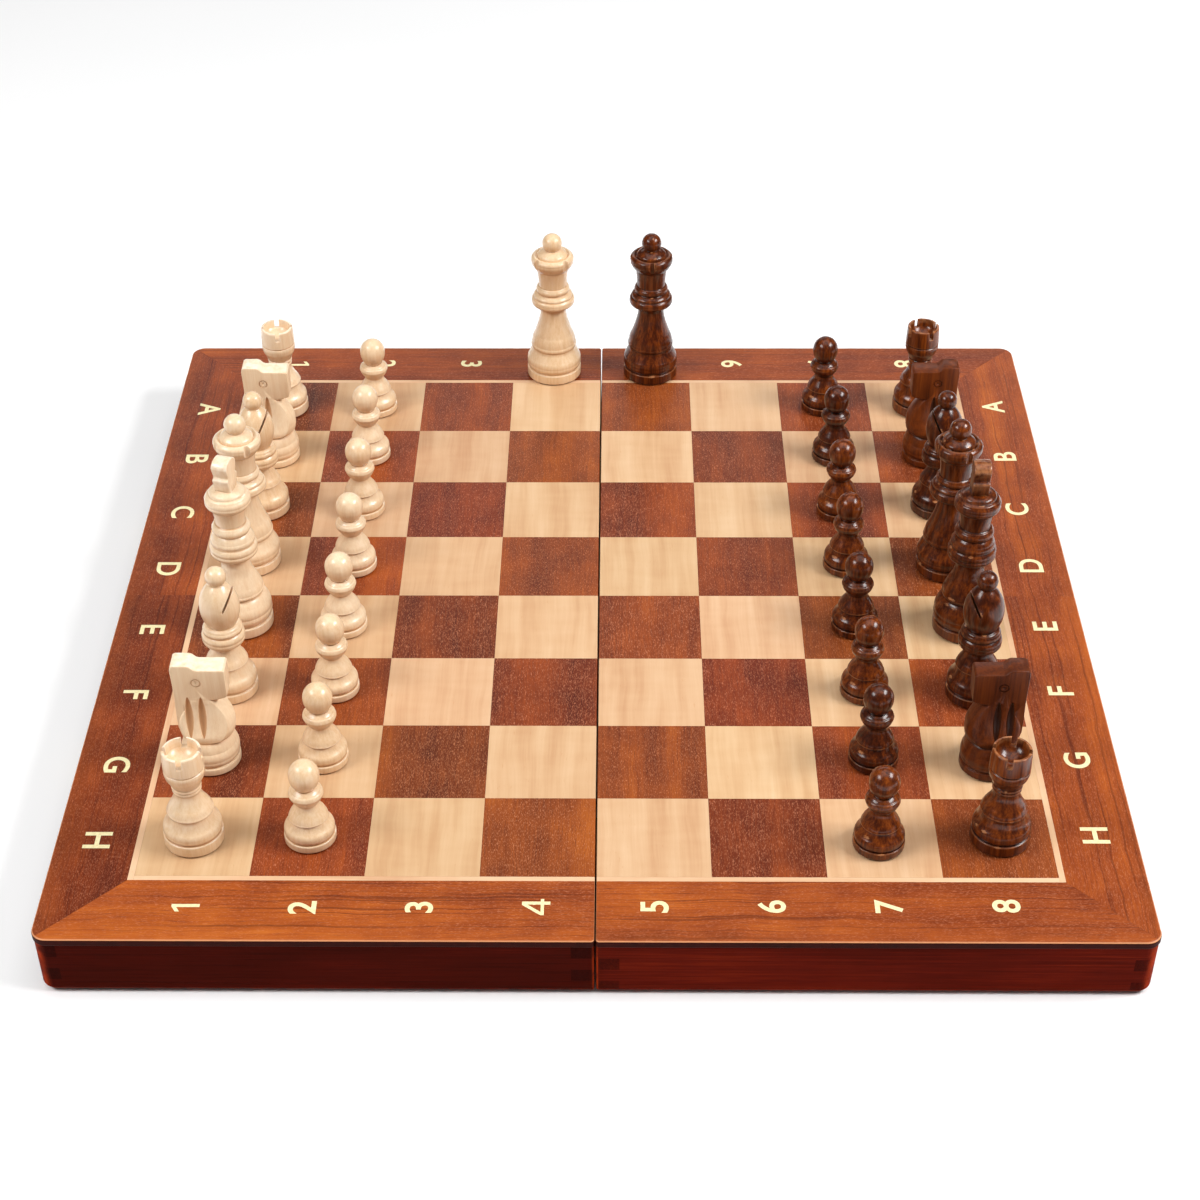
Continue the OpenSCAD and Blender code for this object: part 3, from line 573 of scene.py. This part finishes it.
for s, sign in (("left", -1), ("right", 1)):
    top = envelope(f"{s}_top_envelope", sign, 0.0, panel_lo.z, top_z, PANEL_LOW_R, PANEL_TOP_R)
    wall = envelope(f"{s}_wall_envelope", sign, half_l + rail_lo.x, rail_lo.z, rail_hi.z,
                    RAIL_LOW_R, BARELY_ROUND)
    for part in ("panel", "border_veneer", "light_squares", "dark_squares", "inlay_line"):
        trim(f"{s}_{part}", top)
    for part in ("side_rails", "end_rail", "spine_rail"):
        trim(f"{s}_{part}", wall)
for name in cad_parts:
    part = name.split("_", 1)[1]
    if name in BOARD_MATS:
        paint(name, BOARD_MATS[name])
    elif part in BOARD_MATS:
        paint(name, BOARD_MATS[part])
    elif name.split("_")[0] not in ("white", "black"):
        paint(name, brass)
for name in ("left_hinge_leaves", "right_hinge_leaves", "latch_hook_front", "latch_hook_back"):
    weld(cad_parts[name])
    round_edges(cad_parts[name], "soft_edges", 0.15 * MM, 2, 40)


# ---- playing pieces --------------------------------------------------------

# Turned outlines, as in the CAD: [radius, height, bulge to the next row], in mm.
PAWN = [
    [11, 0.6, 0.4], [11.5, 1.1, 0.03], [11.5, 3.8, 0.4], [11, 4.3, 0],
    [10.6, 4.4, 0], [10.6, 4.8, 0.25], [11.2, 6.9, 0.2], [10.4, 9.2, -0.1],
    [8.5, 12, -0.05], [8.1, 13, 0], [8.7, 13.4, 0.35], [8.5, 14.2, 0.1],
    [7.4, 16.6, 0], [5.9, 18.9, -0.15], [5, 21.6, 0], [5.2, 22, 0],
    [6.4, 23.6, 0.1], [7.5, 26, 0.3], [7.5, 27.6, 0.35], [6.4, 28.8, 0.1],
    [4.4, 30.3, 0.183], [6.8, 36.8, 0.414], [0, 44.5, 0],
]
ROOK = [
    [12.7, 0.6, 0.4], [13.2, 1.1, 0.03], [13.2, 5.7, 0.4], [12.7, 6.2, 0],
    [12.3, 6.4, 0], [12.3, 6.8, 0.25], [12.9, 8.9, 0.22], [11.9, 11.9, -0.12],
    [10.1, 15.6, -0.1], [9.7, 17.8, 0], [10.2, 18.2, 0.35], [9.9, 19.4, 0.1],
    [8.3, 22.4, 0], [6.8, 25.4, -0.12], [5.9, 29, 0], [5.9, 29.5, 0],
    [6.2, 29.8, 0.3], [6.2, 31.2, 0], [6, 31.4, 0], [6.4, 31.7, 0.3],
    [6.4, 33, 0], [6.2, 33.2, 0], [6.5, 33.5, 0], [7.6, 36.4, 0.12],
    [8.75, 39.4, 0.12], [8.85, 42, 0], [8.5, 42.3, 0], [8.5, 42.7, 0],
    [8.95, 43, 0.02], [8.55, 51.8, 0.3], [8.15, 52.4, 0], [7.3, 52.4, 0],
    [7, 48.6, -0.25], [0, 44.8, 0],
]
KNIGHT = [
    [12.7, 0.6, 0.4], [13.2, 1.1, 0.03], [13.2, 3.8, 0.4], [12.7, 4.3, 0],
    [12.3, 4.4, 0], [12.3, 4.8, 0.25], [13.1, 7.8, 0.2], [12.3, 12.4, 0.1],
    [11, 16.8, 0], [10.4, 17.4, 0], [10.4, 18, 0], [11.3, 18.4, 0.35],
    [12.5, 20.2, 0.1], [12.8, 23.5, 0.06], [12.6, 26.5, 0.08], [11.4, 30.3, 0.05],
    [9.1, 34.6, 0], [6.6, 38.6, 0], [5, 41, 0], [0, 41, 0],
]
BISHOP = [
    [12.8, 0.6, 0.4], [13.3, 1.1, 0.03], [13.3, 5, 0.4], [12.8, 5.5, 0],
    [12.4, 5.7, 0], [12.4, 6.1, 0.25], [13.2, 8.6, 0.2], [12.2, 11.8, -0.12],
    [10, 16, -0.08], [9.6, 17.9, 0], [10, 18.2, 0.35], [9.8, 18.8, 0.12],
    [8.4, 21.6, 0], [6.9, 24.6, -0.12], [6, 27.8, 0], [6.4, 28.2, 0.1],
    [9, 29.9, 0.35], [9.95, 32.9, 0.3], [9.3, 35.9, 0], [9, 36.2, 0],
    [9, 36.6, 0.4], [8.7, 38.9, 0.3], [7.6, 40.3, 0], [7.1, 40.5, 0],
    [7.2, 41, 0.13], [9.4, 51, 0.2], [4.1, 62.8, 0], [3.7, 63.3, 0],
    [3.9, 63.83, 0.62], [0, 71.7, 0],
]
QUEEN = [
    [14.7, 0.6, 0.4], [15.2, 1.1, 0.03], [15.2, 5.5, 0.4], [14.7, 6, 0],
    [14.3, 6.2, 0], [14.3, 6.6, 0.25], [15.1, 9.8, 0.22], [14.2, 13.4, 0],
    [12.9, 16.4, -0.15], [12.1, 18.8, 0], [12.5, 19.3, 0.3], [12.3, 21.6, 0.12],
    [10.7, 27.2, -0.02], [8.2, 35, -0.06], [7.1, 42, 0], [7.3, 44, 0],
    [8, 44.3, 0.1], [11.2, 46, 0.35], [11.9, 48.3, 0.3], [11.1, 50.3, 0],
    [10.8, 50.6, 0], [10.8, 51, 0.3], [10.3, 52.2, 0.15], [8.8, 53.2, 0],
    [8.6, 53.4, 0], [8.7, 53.8, 0.45], [8.7, 56.6, 0.3], [8.2, 57.3, 0],
    [7.9, 57.6, -0.06], [8.8, 67.6, 0], [9.2, 68, 0.1], [11, 70.6, 0.2],
    [11.7, 73.4, 0.35], [10.9, 75.6, 0.4], [9.4, 76, 0], [8.5, 75.1, 0],
    [8.3, 75.3, 0.3], [7.4, 77.4, 0.1], [4.1, 79.45, 0.642], [0, 88.4, 0],
]
KING = [
    [14.4, 0.6, 0.4], [14.9, 1.1, 0.03], [14.9, 5.6, 0.4], [14.4, 6.1, 0],
    [14, 6.3, 0], [14, 6.7, 0.25], [14.8, 11.4, 0.2], [13.7, 16.8, 0.1],
    [11.5, 20.2, 0], [11.2, 21, 0], [11.9, 21.6, 0.35], [11.8, 23.4, 0.12],
    [10.8, 26.8, 0.02], [9, 31, -0.1], [7.3, 36, -0.08], [6.8, 40, 0],
    [7, 41.7, 0], [7.6, 41.9, 0.1], [10.6, 43.8, 0.35], [11.3, 46.8, 0.3],
    [10.7, 50.2, 0], [10.4, 50.6, 0], [10.4, 51.2, 0.3], [10, 53.6, 0.15],
    [8.6, 56.2, 0], [8.3, 56.5, 0], [8.5, 57, 0.45], [8.5, 60.6, 0.3],
    [7.6, 61.4, 0], [7.2, 61.8, -0.06], [8.4, 70.4, 0], [8.8, 70.7, 0.1],
    [10.3, 72.2, 0.3], [10.85, 74.6, 0.3], [10.2, 77.2, 0.3], [9, 78.3, 0],
    [8.6, 78.5, 0.3], [7.6, 80.3, 0.12], [4.6, 81.2, 0], [0, 81.4, 0],
]
# King's finial and knight's head, seen from the side: [across, height], in mm.
FINIAL = [
    [4, 80.6], [4.2, 81.6], [5.4, 87.3], [5.4, 87.9], [3.8, 88.8],
    [5.4, 93.8], [5.4, 94.6], [4.7, 95.8], [3.2, 96.9], [1.6, 97.5],
]
HEAD = [
    [-9.6, 17.6], [-11.4, 19.8], [-12.3, 23.4], [-12.4, 30], [-12.2, 40],
    [-12.3, 47.5], [-12.6, 56.2], [-12.2, 58], [-11, 58.7], [-4.8, 58.7],
    [-3.5, 58.2], [-1.9, 56.6], [-0.8, 56.2], [11, 56.2], [11.8, 55.4],
    [11.6, 41.6], [10.8, 40.8], [7.4, 39.6], [4.2, 39.2], [2, 34], [0, 17.6],
]
# rook: width and floor of the slots in its battlements
SLOT_W, SLOT_FLOOR = 2.5, 47.8
# bishop: foot, size and lean in degrees of the cut in its head
MITRE_FOOT, MITRE_SIZE, MITRE_LEAN = (2.6, 0, 51.8), (1.1, 24, 16), 28
# queen: radius of the four notches in her coronet, and how far out they are
NOTCH_R, NOTCH_OUT = 1.7, 12
FINIAL_TOP, FINIAL_T = 97.6, 8
# knight: place and radii of the ring round its eye, and the long grooves in its cheeks
EYE_X, EYE_Z, EYE_RING, EYE_CORE = -1.6, 49.2, 2.3, 1.7
GROOVES_X, GROOVE_Z, GROOVE_LEAN = (-6.3, -0.4), 30.5, 11.5
GROOVE_HALF, GROOVE_HALF_L, GROOVE_OUT = 2.1, 11.5, 1.9
# faces round a turned piece, and length of a chord along its outline
AROUND, CHORD = 96, 0.35


def traced(rows):
    """Outline points in mm, arcs cut into chords. The outline starts on the axis, at the height
    of the first row."""
    out = [Vector((0, rows[0][1]))]
    for a, b in zip(rows, rows[1:]):
        p, q, bulge = Vector(a[:2]), Vector(b[:2]), a[2]
        out.append(p)
        if not bulge:
            continue
        d = q - p
        c = d.length
        u = d / c
        s = Vector((u.y, -u.x))
        r = c * (1 + bulge * bulge) / (4 * bulge)
        t = 4 * math.atan(bulge)
        m = (p + q) / 2 + s * (bulge * c / 2 - r)
        n = max(3, math.ceil(abs(r * t) / CHORD))
        for i in range(1, n):
            w = t * (i / n - 0.5)
            out.append(m + r * (math.cos(w) * s + math.sin(w) * u))
    out.append(Vector(rows[-1][:2]))
    return out


def turned(rows, name):
    """Solid turned round Z from an outline."""
    bm = bmesh.new()
    loops = []
    for r, h in traced(rows):
        if r < 1e-6:
            loops.append([bm.verts.new((0, 0, h * MM))])
            continue
        loops.append([
            bm.verts.new((r * MM * math.cos(a), r * MM * math.sin(a), h * MM))
            for a in (2 * math.pi * i / AROUND for i in range(AROUND))
        ])
    for a, b in zip(loops, loops[1:]):
        for i in range(AROUND):
            j = (i + 1) % AROUND
            if len(a) == 1:
                bm.faces.new((a[0], b[j], b[i]))
            elif len(b) == 1:
                bm.faces.new((a[i], a[j], b[0]))
            else:
                bm.faces.new((a[i], a[j], b[j], b[i]))
    return to_object(bm, name)


def prism(outline, low, high, name, axis="y"):
    """Outline of (across, up) points in mm, pushed along X or Y from low to high."""
    def at(p, d):
        across, up = p
        return Vector((across, d, up) if axis == "y" else (d, across, up)) * MM

    bm = bmesh.new()
    a = [bm.verts.new(at(p, low)) for p in outline]
    b = [bm.verts.new(at(p, high)) for p in outline]
    bm.faces.new(a)
    bm.faces.new(b[::-1])
    for i in range(len(a)):
        j = (i + 1) % len(a)
        bm.faces.new((a[i], b[i], b[j], a[j]))
    return to_object(bm, name)


def rod(p, q, r0, r1, name, sides=32):
    """Round bar or cone between two points in mm, with flat ends."""
    bm = bmesh.new()
    p, q = Vector(p) * MM, Vector(q) * MM
    d = q - p
    place = Matrix.Translation((p + q) / 2) @ d.to_track_quat("Z", "Y").to_matrix().to_4x4()
    bmesh.ops.create_cone(bm, cap_ends=True, segments=sides, radius1=r0 * MM, radius2=r1 * MM,
                          depth=d.length, matrix=place)
    return to_object(bm, name)


def combine(o, other, how):
    """Joins other to o, or cuts it from o, and removes other."""
    mod = o.modifiers.new("cut", "BOOLEAN")
    mod.operation = how
    mod.solver = "EXACT"
    mod.object = other
    settle(o)
    bpy.data.objects.remove(other)


def finish_mesh(o, bevel=0.0, sharp=38):
    """Mesh of o with a bevel of so many mm, smooth but for edges over sharp degrees. Removes o."""
    if bevel:
        round_edges(o, "bevel", bevel * MM, 2, 48)
        settle(o)
    bm = bmesh.new()
    bm.from_mesh(o.data)
    bmesh.ops.remove_doubles(bm, verts=bm.verts, dist=2e-6)
    for f in bm.faces:
        f.smooth = True
    for e in bm.edges:
        e.smooth = len(e.link_faces) == 2 and e.calc_face_angle(0) < math.radians(sharp)
    bm.to_mesh(o.data)
    bm.free()
    mesh = o.data
    bpy.data.objects.remove(o)
    return mesh


def make_pawn():
    return finish_mesh(turned(PAWN, "pawn"))


def make_rook():
    o = turned(ROOK, "rook")
    w = SLOT_W / 2
    outline = [(-w, SLOT_FLOOR), (w, SLOT_FLOOR), (w, 54), (-w, 54)]
    for axis in ("x", "y"):
        combine(o, prism(outline, -10, 10, "slot", axis), "DIFFERENCE")
    return finish_mesh(o, 0.12)


def make_bishop():
    o = turned(BISHOP, "bishop")
    bm = bmesh.new()
    bmesh.ops.create_cube(bm, size=1)
    w, d, h = MITRE_SIZE
    lean = Matrix.Rotation(math.radians(MITRE_LEAN), 4, "Y")
    place = Matrix.Translation(Vector(MITRE_FOOT) * MM) @ lean
    place = place @ Matrix.Translation(Vector((0, 0, h / 2)) * MM)
    place = place @ Matrix.Diagonal((w * MM, d * MM, h * MM, 1))
    bmesh.ops.transform(bm, matrix=place, verts=bm.verts)
    combine(o, to_object(bm, "mitre"), "DIFFERENCE")
    return finish_mesh(o, 0.06)


def make_queen():
    o = turned(QUEEN, "queen")
    for x, y in ((1, 0), (0, 1), (-1, 0), (0, -1)):
        low, high = ((x * NOTCH_OUT, y * NOTCH_OUT, z) for z in (67, 79))
        combine(o, rod(low, high, NOTCH_R, NOTCH_R, "notch"), "DIFFERENCE")
    return finish_mesh(o, 0.12)


def make_king():
    o = turned(KING, "king")
    outline = FINIAL + [[0, FINIAL_TOP]] + [[-x, z] for x, z in reversed(FINIAL)]
    top = prism(outline, -FINIAL_T / 2, FINIAL_T / 2, "finial", "x")
    round_edges(top, "bevel", 0.5 * MM, 3, 60)
    settle(top)
    combine(o, top, "UNION")
    return finish_mesh(o, 0.1)


def cheeks():
    """Prism along X whose sides are flat at the knight's head and sweep out to its foot."""
    side = [(CHEEK, SWEEP_Z + 2)]
    for i in range(40):
        a = math.radians(i)
        across, up = CHEEK + SWEEP_R * (1 - math.cos(a)), SWEEP_Z - SWEEP_R * math.sin(a)
        if up > 17.7:
            side.append((across, up))
    side += [(side[-1][0] + 0.2, 17.7), (14, 17.7), (14, 0)]
    return prism(side + [(-x, z) for x, z in reversed(side)], -15, 15, "cheeks", "x")


def carve_cheek(o, t):
    """Ring and dot of the eye, and the two long grooves, on the cheek that faces t along Y."""
    def bar(y0, y1, r0, r1, name, sides):
        return rod((EYE_X, t * (CHEEK + y0), EYE_Z), (EYE_X, t * (CHEEK + y1), EYE_Z),
                   r0, r1, name, sides)

    ring = bar(-0.4, 0.6, EYE_RING, EYE_RING, "ring", 48)
    combine(ring, bar(-1, 1, EYE_CORE, EYE_CORE, "core", 48), "DIFFERENCE")
    combine(o, ring, "DIFFERENCE")
    combine(o, bar(-0.35, 0.5, 0.25, 0.6, "dot", 24), "DIFFERENCE")
    lens = [[0.05, -GROOVE_HALF_L, 0]]
    lens += [[GROOVE_HALF * (1 - i * i / 16), i * 2.9, 0] for i in range(-3, 4)]
    lens.append([0, GROOVE_HALF_L, 0])
    for x in GROOVES_X:
        groove = turned(lens, "groove")
        foot = Vector((x, t * (CHEEK + GROOVE_OUT), GROOVE_Z)) * MM
        lean = Matrix.Rotation(math.radians(t * GROOVE_LEAN), 4, "X")
        groove.data.transform(Matrix.Translation(foot) @ lean)
        combine(o, groove, "DIFFERENCE")


def make_knight():
    o = turned(KNIGHT, "knight")
    combine(o, cheeks(), "INTERSECT")
    head = prism(HEAD, -CHEEK, CHEEK, "head")
    round_edges(head, "bevel", 0.45 * MM, 3, 50)
    settle(head)
    combine(o, head, "UNION")
    for t in (-1, 1):
        carve_cheek(o, t)
    return finish_mesh(o, 0.12)


LIGHT_STOPS = ((0.1, srgb(212, 166, 118)), (0.4, srgb(233, 198, 156)),
               (0.65, srgb(243, 216, 181)), (0.95, srgb(250, 233, 208)))
DARK_STOPS = ((0.15, srgb(32, 9, 3)), (0.42, srgb(72, 28, 8)),
              (0.64, srgb(118, 54, 14)), (0.9, srgb(172, 90, 28)))
# colours of worn edges, also used for painted light on a carved head, and of painted shade in
# grooves and on undersides
LIGHT_WORN_AND_LIT, LIGHT_PAINTED_SHADE = srgb(255, 244, 228), srgb(190, 132, 80)
DARK_WORN, DARK_PAINTED_SHADE = srgb(206, 140, 92), srgb(28, 9, 4)
WOODS = {
    "white": turned_wood("light_wood", LIGHT_STOPS, 0.06, 0.5, 0.8, 0.34, 0.3,
                         LIGHT_WORN_AND_LIT, LIGHT_PAINTED_SHADE),
    "black": turned_wood("dark_wood", DARK_STOPS, 0.12, 0.75, 0.7, 0.3, 0.05,
                         DARK_WORN, DARK_PAINTED_SHADE),
}
# carved knights take painted light on the upward face of the head, not edge wear
CARVED = {
    "white": turned_wood("light_carved", LIGHT_STOPS, 0.04, 0.4, 0.1, 0.45, 0.2,
                         LIGHT_WORN_AND_LIT, LIGHT_PAINTED_SHADE, carved=True),
    "black": turned_wood("dark_carved", DARK_STOPS, 0.08, 0.4, 0.35, 0.4, 0.1,
                         srgb(70, 30, 14), DARK_PAINTED_SHADE, carved=True),
}
MAKERS = {"pawn": make_pawn, "rook": make_rook, "knight": make_knight,
          "bishop": make_bishop, "queen": make_queen, "king": make_king}
PAD_R = {"pawn": 10.4, "rook": 12.1, "knight": 12.1, "bishop": 12.2, "queen": 14.2, "king": 13.9}
PAD_T = 0.57
shapes = {kind: make() for kind, make in MAKERS.items()}
pad_felt = felt_mat("pad_felt", srgb(46, 84, 54), srgb(22, 46, 30))


def felt_disc(radius):
    """Felt disc with a slightly furred rim."""
    rows = [[radius - 0.15, 0.0, 0.3], [radius, 0.3, 0.3], [radius - 0.12, PAD_T, 0], [0, PAD_T, 0]]
    return finish_mesh(turned(rows, "pad"), sharp=60)


discs = {kind: felt_disc(r) for kind, r in PAD_R.items()}
# how many degrees some pieces are turned where they stand, as in the CAD
TURNED = {"white_queen": 33, "black_queen": 20, "white_spare_queen": 42, "black_spare_queen": 3,
          "white_king": -16, "white_rook_a": 8, "black_rook_a": 25, "black_rook_h": -14}
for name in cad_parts:
    colour, _, kind = name.partition("_")
    if colour not in WOODS:
        continue
    kind = next(k for k in MAKERS if k in kind)
    lo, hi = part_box(name)
    spin = math.radians(TURNED.get(name, 0)) + (0.0 if colour == "white" else math.pi)
    place = Matrix.Translation(((lo.x + hi.x) / 2, (lo.y + hi.y) / 2, lo.z))
    place = place @ Matrix.Rotation(spin, 4, "Z")
    wood = (CARVED if kind == "knight" else WOODS)[colour]
    for suffix, shape, finish, slot in (
        ("_wood", shapes[kind], wood, "light_wood" if colour == "white" else "dark_wood"),
        ("_felt", discs[kind], pad_felt, "felt_lining"),
    ):
        mesh = shape.copy()
        mesh.materials.clear()
        mesh.materials.append(finish)
        piece = bpy.data.objects.new(name + suffix, mesh)
        scene.collection.objects.link(piece)
        piece.matrix_world = place
        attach(piece, name)
        if suffix == "_wood":
            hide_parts(name)


# ---- coordinates on the border ---------------------------------------------

GLYPH_H = 12.1 * MM
GLYPH_RISE = 0.04 * MM
# the marks were set by hand: how far the left letters stand in front of the middle of their
# squares, how much further back each right letter stands than the one before, how far all
# letters stand inwards, and how far the front digits do, from the first on and for each next one
LEFT_OFF, RIGHT_STEP, LETTER_IN = 2.9 * MM, 0.24 * MM, 0.65 * MM
DIGIT_IN, DIGIT_STEP = 1.2 * MM, 0.33 * MM
# digits drawn as plain strokes: each is a list of outlines, one unit tall
STROKES = {
    "1": [[(-0.02, 0), (0.13, 0), (0.13, 1), (0.02, 1), (-0.24, 0.84), (-0.24, 0.69),
           (-0.02, 0.82)]],
    "4": [[(0.14, 0), (0.29, 0), (0.29, 1), (0.14, 1)],
          [(-0.38, 0.22), (0.14, 0.22), (0.14, 0.34), (-0.38, 0.34)],
          [(0.29, 0.22), (0.42, 0.22), (0.42, 0.34), (0.29, 0.34)],
          [(-0.38, 0.34), (-0.22, 0.34), (0.14, 0.80), (0.14, 1), (0.12, 1)]],
}


def glyph(character, x, y, turn):
    """Flat mesh of one letter or digit, its middle at (x, y)."""
    if character in STROKES:
        bm = bmesh.new()
        for outline in STROKES[character]:
            bm.faces.new([bm.verts.new((px, py, 0)) for px, py in outline])
        mesh = bpy.data.meshes.new("glyph")
        bm.to_mesh(mesh)
        bm.free()
    else:
        curve = bpy.data.curves.new("glyph", "FONT")
        curve.body = character
        curve.size = 1.0
        curve.offset = 0.018
        curve.resolution_u = 8
        curve.fill_mode = "FRONT"
        o = bpy.data.objects.new("glyph", curve)
        scene.collection.objects.link(o)
        bpy.context.view_layer.update()
        dg = bpy.context.evaluated_depsgraph_get()
        mesh = bpy.data.meshes.new_from_object(o.evaluated_get(dg))
        bpy.data.objects.remove(o)
    xs = [v.co.x for v in mesh.vertices]
    ys = [v.co.y for v in mesh.vertices]
    size = GLYPH_H / (max(ys) - min(ys))
    middle = Vector(((max(xs) + min(xs)) / 2, (max(ys) + min(ys)) / 2, 0))
    mesh.transform(Matrix.Translation((x, y, top_z + GLYPH_RISE))
                   @ Matrix.Rotation(turn, 4, "Z")
                   @ Matrix.Scale(size, 4) @ Matrix.Translation(-middle))
    return mesh


def marks(s):
    """All letters and digits of one half, as one mesh."""
    body = "left_half" if s < 0 else "right_half"
    mid_x = (-inlay_lo.x + half_l) / 2
    mid_y = (inlay_hi.y + half_d) / 2
    quarter = math.pi / 2
    meshes = []
    for i, letter in enumerate("ABCDEFGH"):
        off = -LEFT_OFF if s < 0 else RIGHT_STEP * i
        meshes.append(glyph(letter, s * (mid_x - LETTER_IN),
                            field_hi.y - (i + 0.5) * pitch + off, s * quarter))
    for i in range(4):
        column = i + (1 if s < 0 else 5)
        x = (column - 4.5) * pitch + s * seam
        off = DIGIT_IN + DIGIT_STEP * (column - 1)
        meshes.append(glyph(str(column), x, -mid_y + off, quarter))
        meshes.append(glyph(str(column), x, mid_y, -quarter))
    bm = bmesh.new()
    for mesh in meshes:
        bm.from_mesh(mesh)
        bpy.data.meshes.remove(mesh)
    bmesh.ops.remove_doubles(bm, verts=bm.verts, dist=1e-7)
    name = "left_marks" if s < 0 else "right_marks"
    mesh = bpy.data.meshes.new(name)
    bm.to_mesh(mesh)
    bm.free()
    mesh.materials.append(print_finish)
    o = bpy.data.objects.new(name, mesh)
    scene.collection.objects.link(o)
    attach(o, body)


print_finish = print_mat()
marks(-1)
marks(1)


# ---- floor, light and camera -----------------------------------------------


FLOOR_HALF = 2
# how brightly the white room lights the set, shows in the lacquer, and shows to the camera
ROOM_LIGHT, ROOM_SHINE, ROOM_SEEN = 0.15, 0.05, 1.0


def floor_mat():
    m = Mat("floor", Roughness=0.9, Specular_IOR_Level=0.1)
    soft = m.noise(m.coord.outputs["Object"], 3.0, 2)
    m.put("Base Color", m.ramp(soft, (0.0, (0.93, 0.93, 0.93)), (1.0, (0.97, 0.97, 0.97))))
    return m.mat


bm = bmesh.new()
bmesh.ops.create_grid(bm, x_segments=8, y_segments=8, size=FLOOR_HALF)
floor = to_object(bm, "floor")
floor.data.materials.append(floor_mat())

world = bpy.data.worlds.new("studio")
scene.world = world
world.use_nodes = True
tree = world.node_tree
tree.nodes.clear()


def background(strength):
    n = tree.nodes.new("ShaderNodeBackground")
    n.inputs[0].default_value = (1, 1, 1, 1)
    n.inputs[1].default_value = strength
    return n.outputs[0]


# the room is white to look at, but lights the set softly and shows little in the lacquer
ray = tree.nodes.new("ShaderNodeLightPath")
shiny = tree.nodes.new("ShaderNodeMixShader")
pick = tree.nodes.new("ShaderNodeMixShader")
end = tree.nodes.new("ShaderNodeOutputWorld")
tree.links.new(ray.outputs["Is Glossy Ray"], shiny.inputs[0])
tree.links.new(background(ROOM_LIGHT), shiny.inputs[1])
tree.links.new(background(ROOM_SHINE), shiny.inputs[2])
tree.links.new(ray.outputs["Is Camera Ray"], pick.inputs[0])
tree.links.new(shiny.outputs[0], pick.inputs[1])
tree.links.new(background(ROOM_SEEN), pick.inputs[2])
tree.links.new(pick.outputs[0], end.inputs[0])


def softbox(name, place, width, height, power):
    """White area light that faces the middle of the board's footprint."""
    data = bpy.data.lights.new(name, "AREA")
    data.shape = "RECTANGLE"
    data.size, data.size_y = width, height
    data.energy = power
    o = bpy.data.objects.new(name, data)
    scene.collection.objects.link(o)
    o.location = place
    o.rotation_mode = "QUATERNION"
    o.rotation_quaternion = (-Vector(place)).to_track_quat("-Z", "Y")


softbox("right_box", (1.10, -0.2, 1.13), 0.8, 0.42, 22)
softbox("left_box", (-1.03, -0.48, 1.13), 0.7, 0.4, 12.5)
softbox("back_box", (0.0, 2.2, 1.2), 2.6, 0.4, 7)
softbox("top_box", (0.0, 0.1, 3.6), 3.6, 3.2, 53)

camera = bpy.data.cameras.new("camera")
camera.sensor_width = 36
camera.lens = 66.903
camera.shift_x = 0.0059667
camera.shift_y = 0.0583417
camera.clip_start, camera.clip_end = 0.05, 50
# the camera's place from the middle of the board's face, in squares, and its angles
EYE_AT = (0.1687, -17.797, 13.645)
tip, yaw, roll = math.radians(39.383), math.radians(-0.7528), math.radians(-0.3792)
ahead = Vector((math.sin(yaw) * math.cos(tip), math.cos(yaw) * math.cos(tip), -math.sin(tip)))
right = Vector((math.cos(yaw), -math.sin(yaw), 0))
up = right.cross(ahead)
right, up = (math.cos(roll) * right + math.sin(roll) * up,
             -math.sin(roll) * right + math.cos(roll) * up)
eye = bpy.data.objects.new("camera", camera)
scene.collection.objects.link(eye)
turn = Matrix((right, up, -ahead)).transposed().to_4x4()
eye.matrix_world = Matrix.Translation(Vector(EYE_AT) * pitch + Vector((0, 0, top_z))) @ turn
scene.camera = eye
scene.view_settings.view_transform = "Standard"
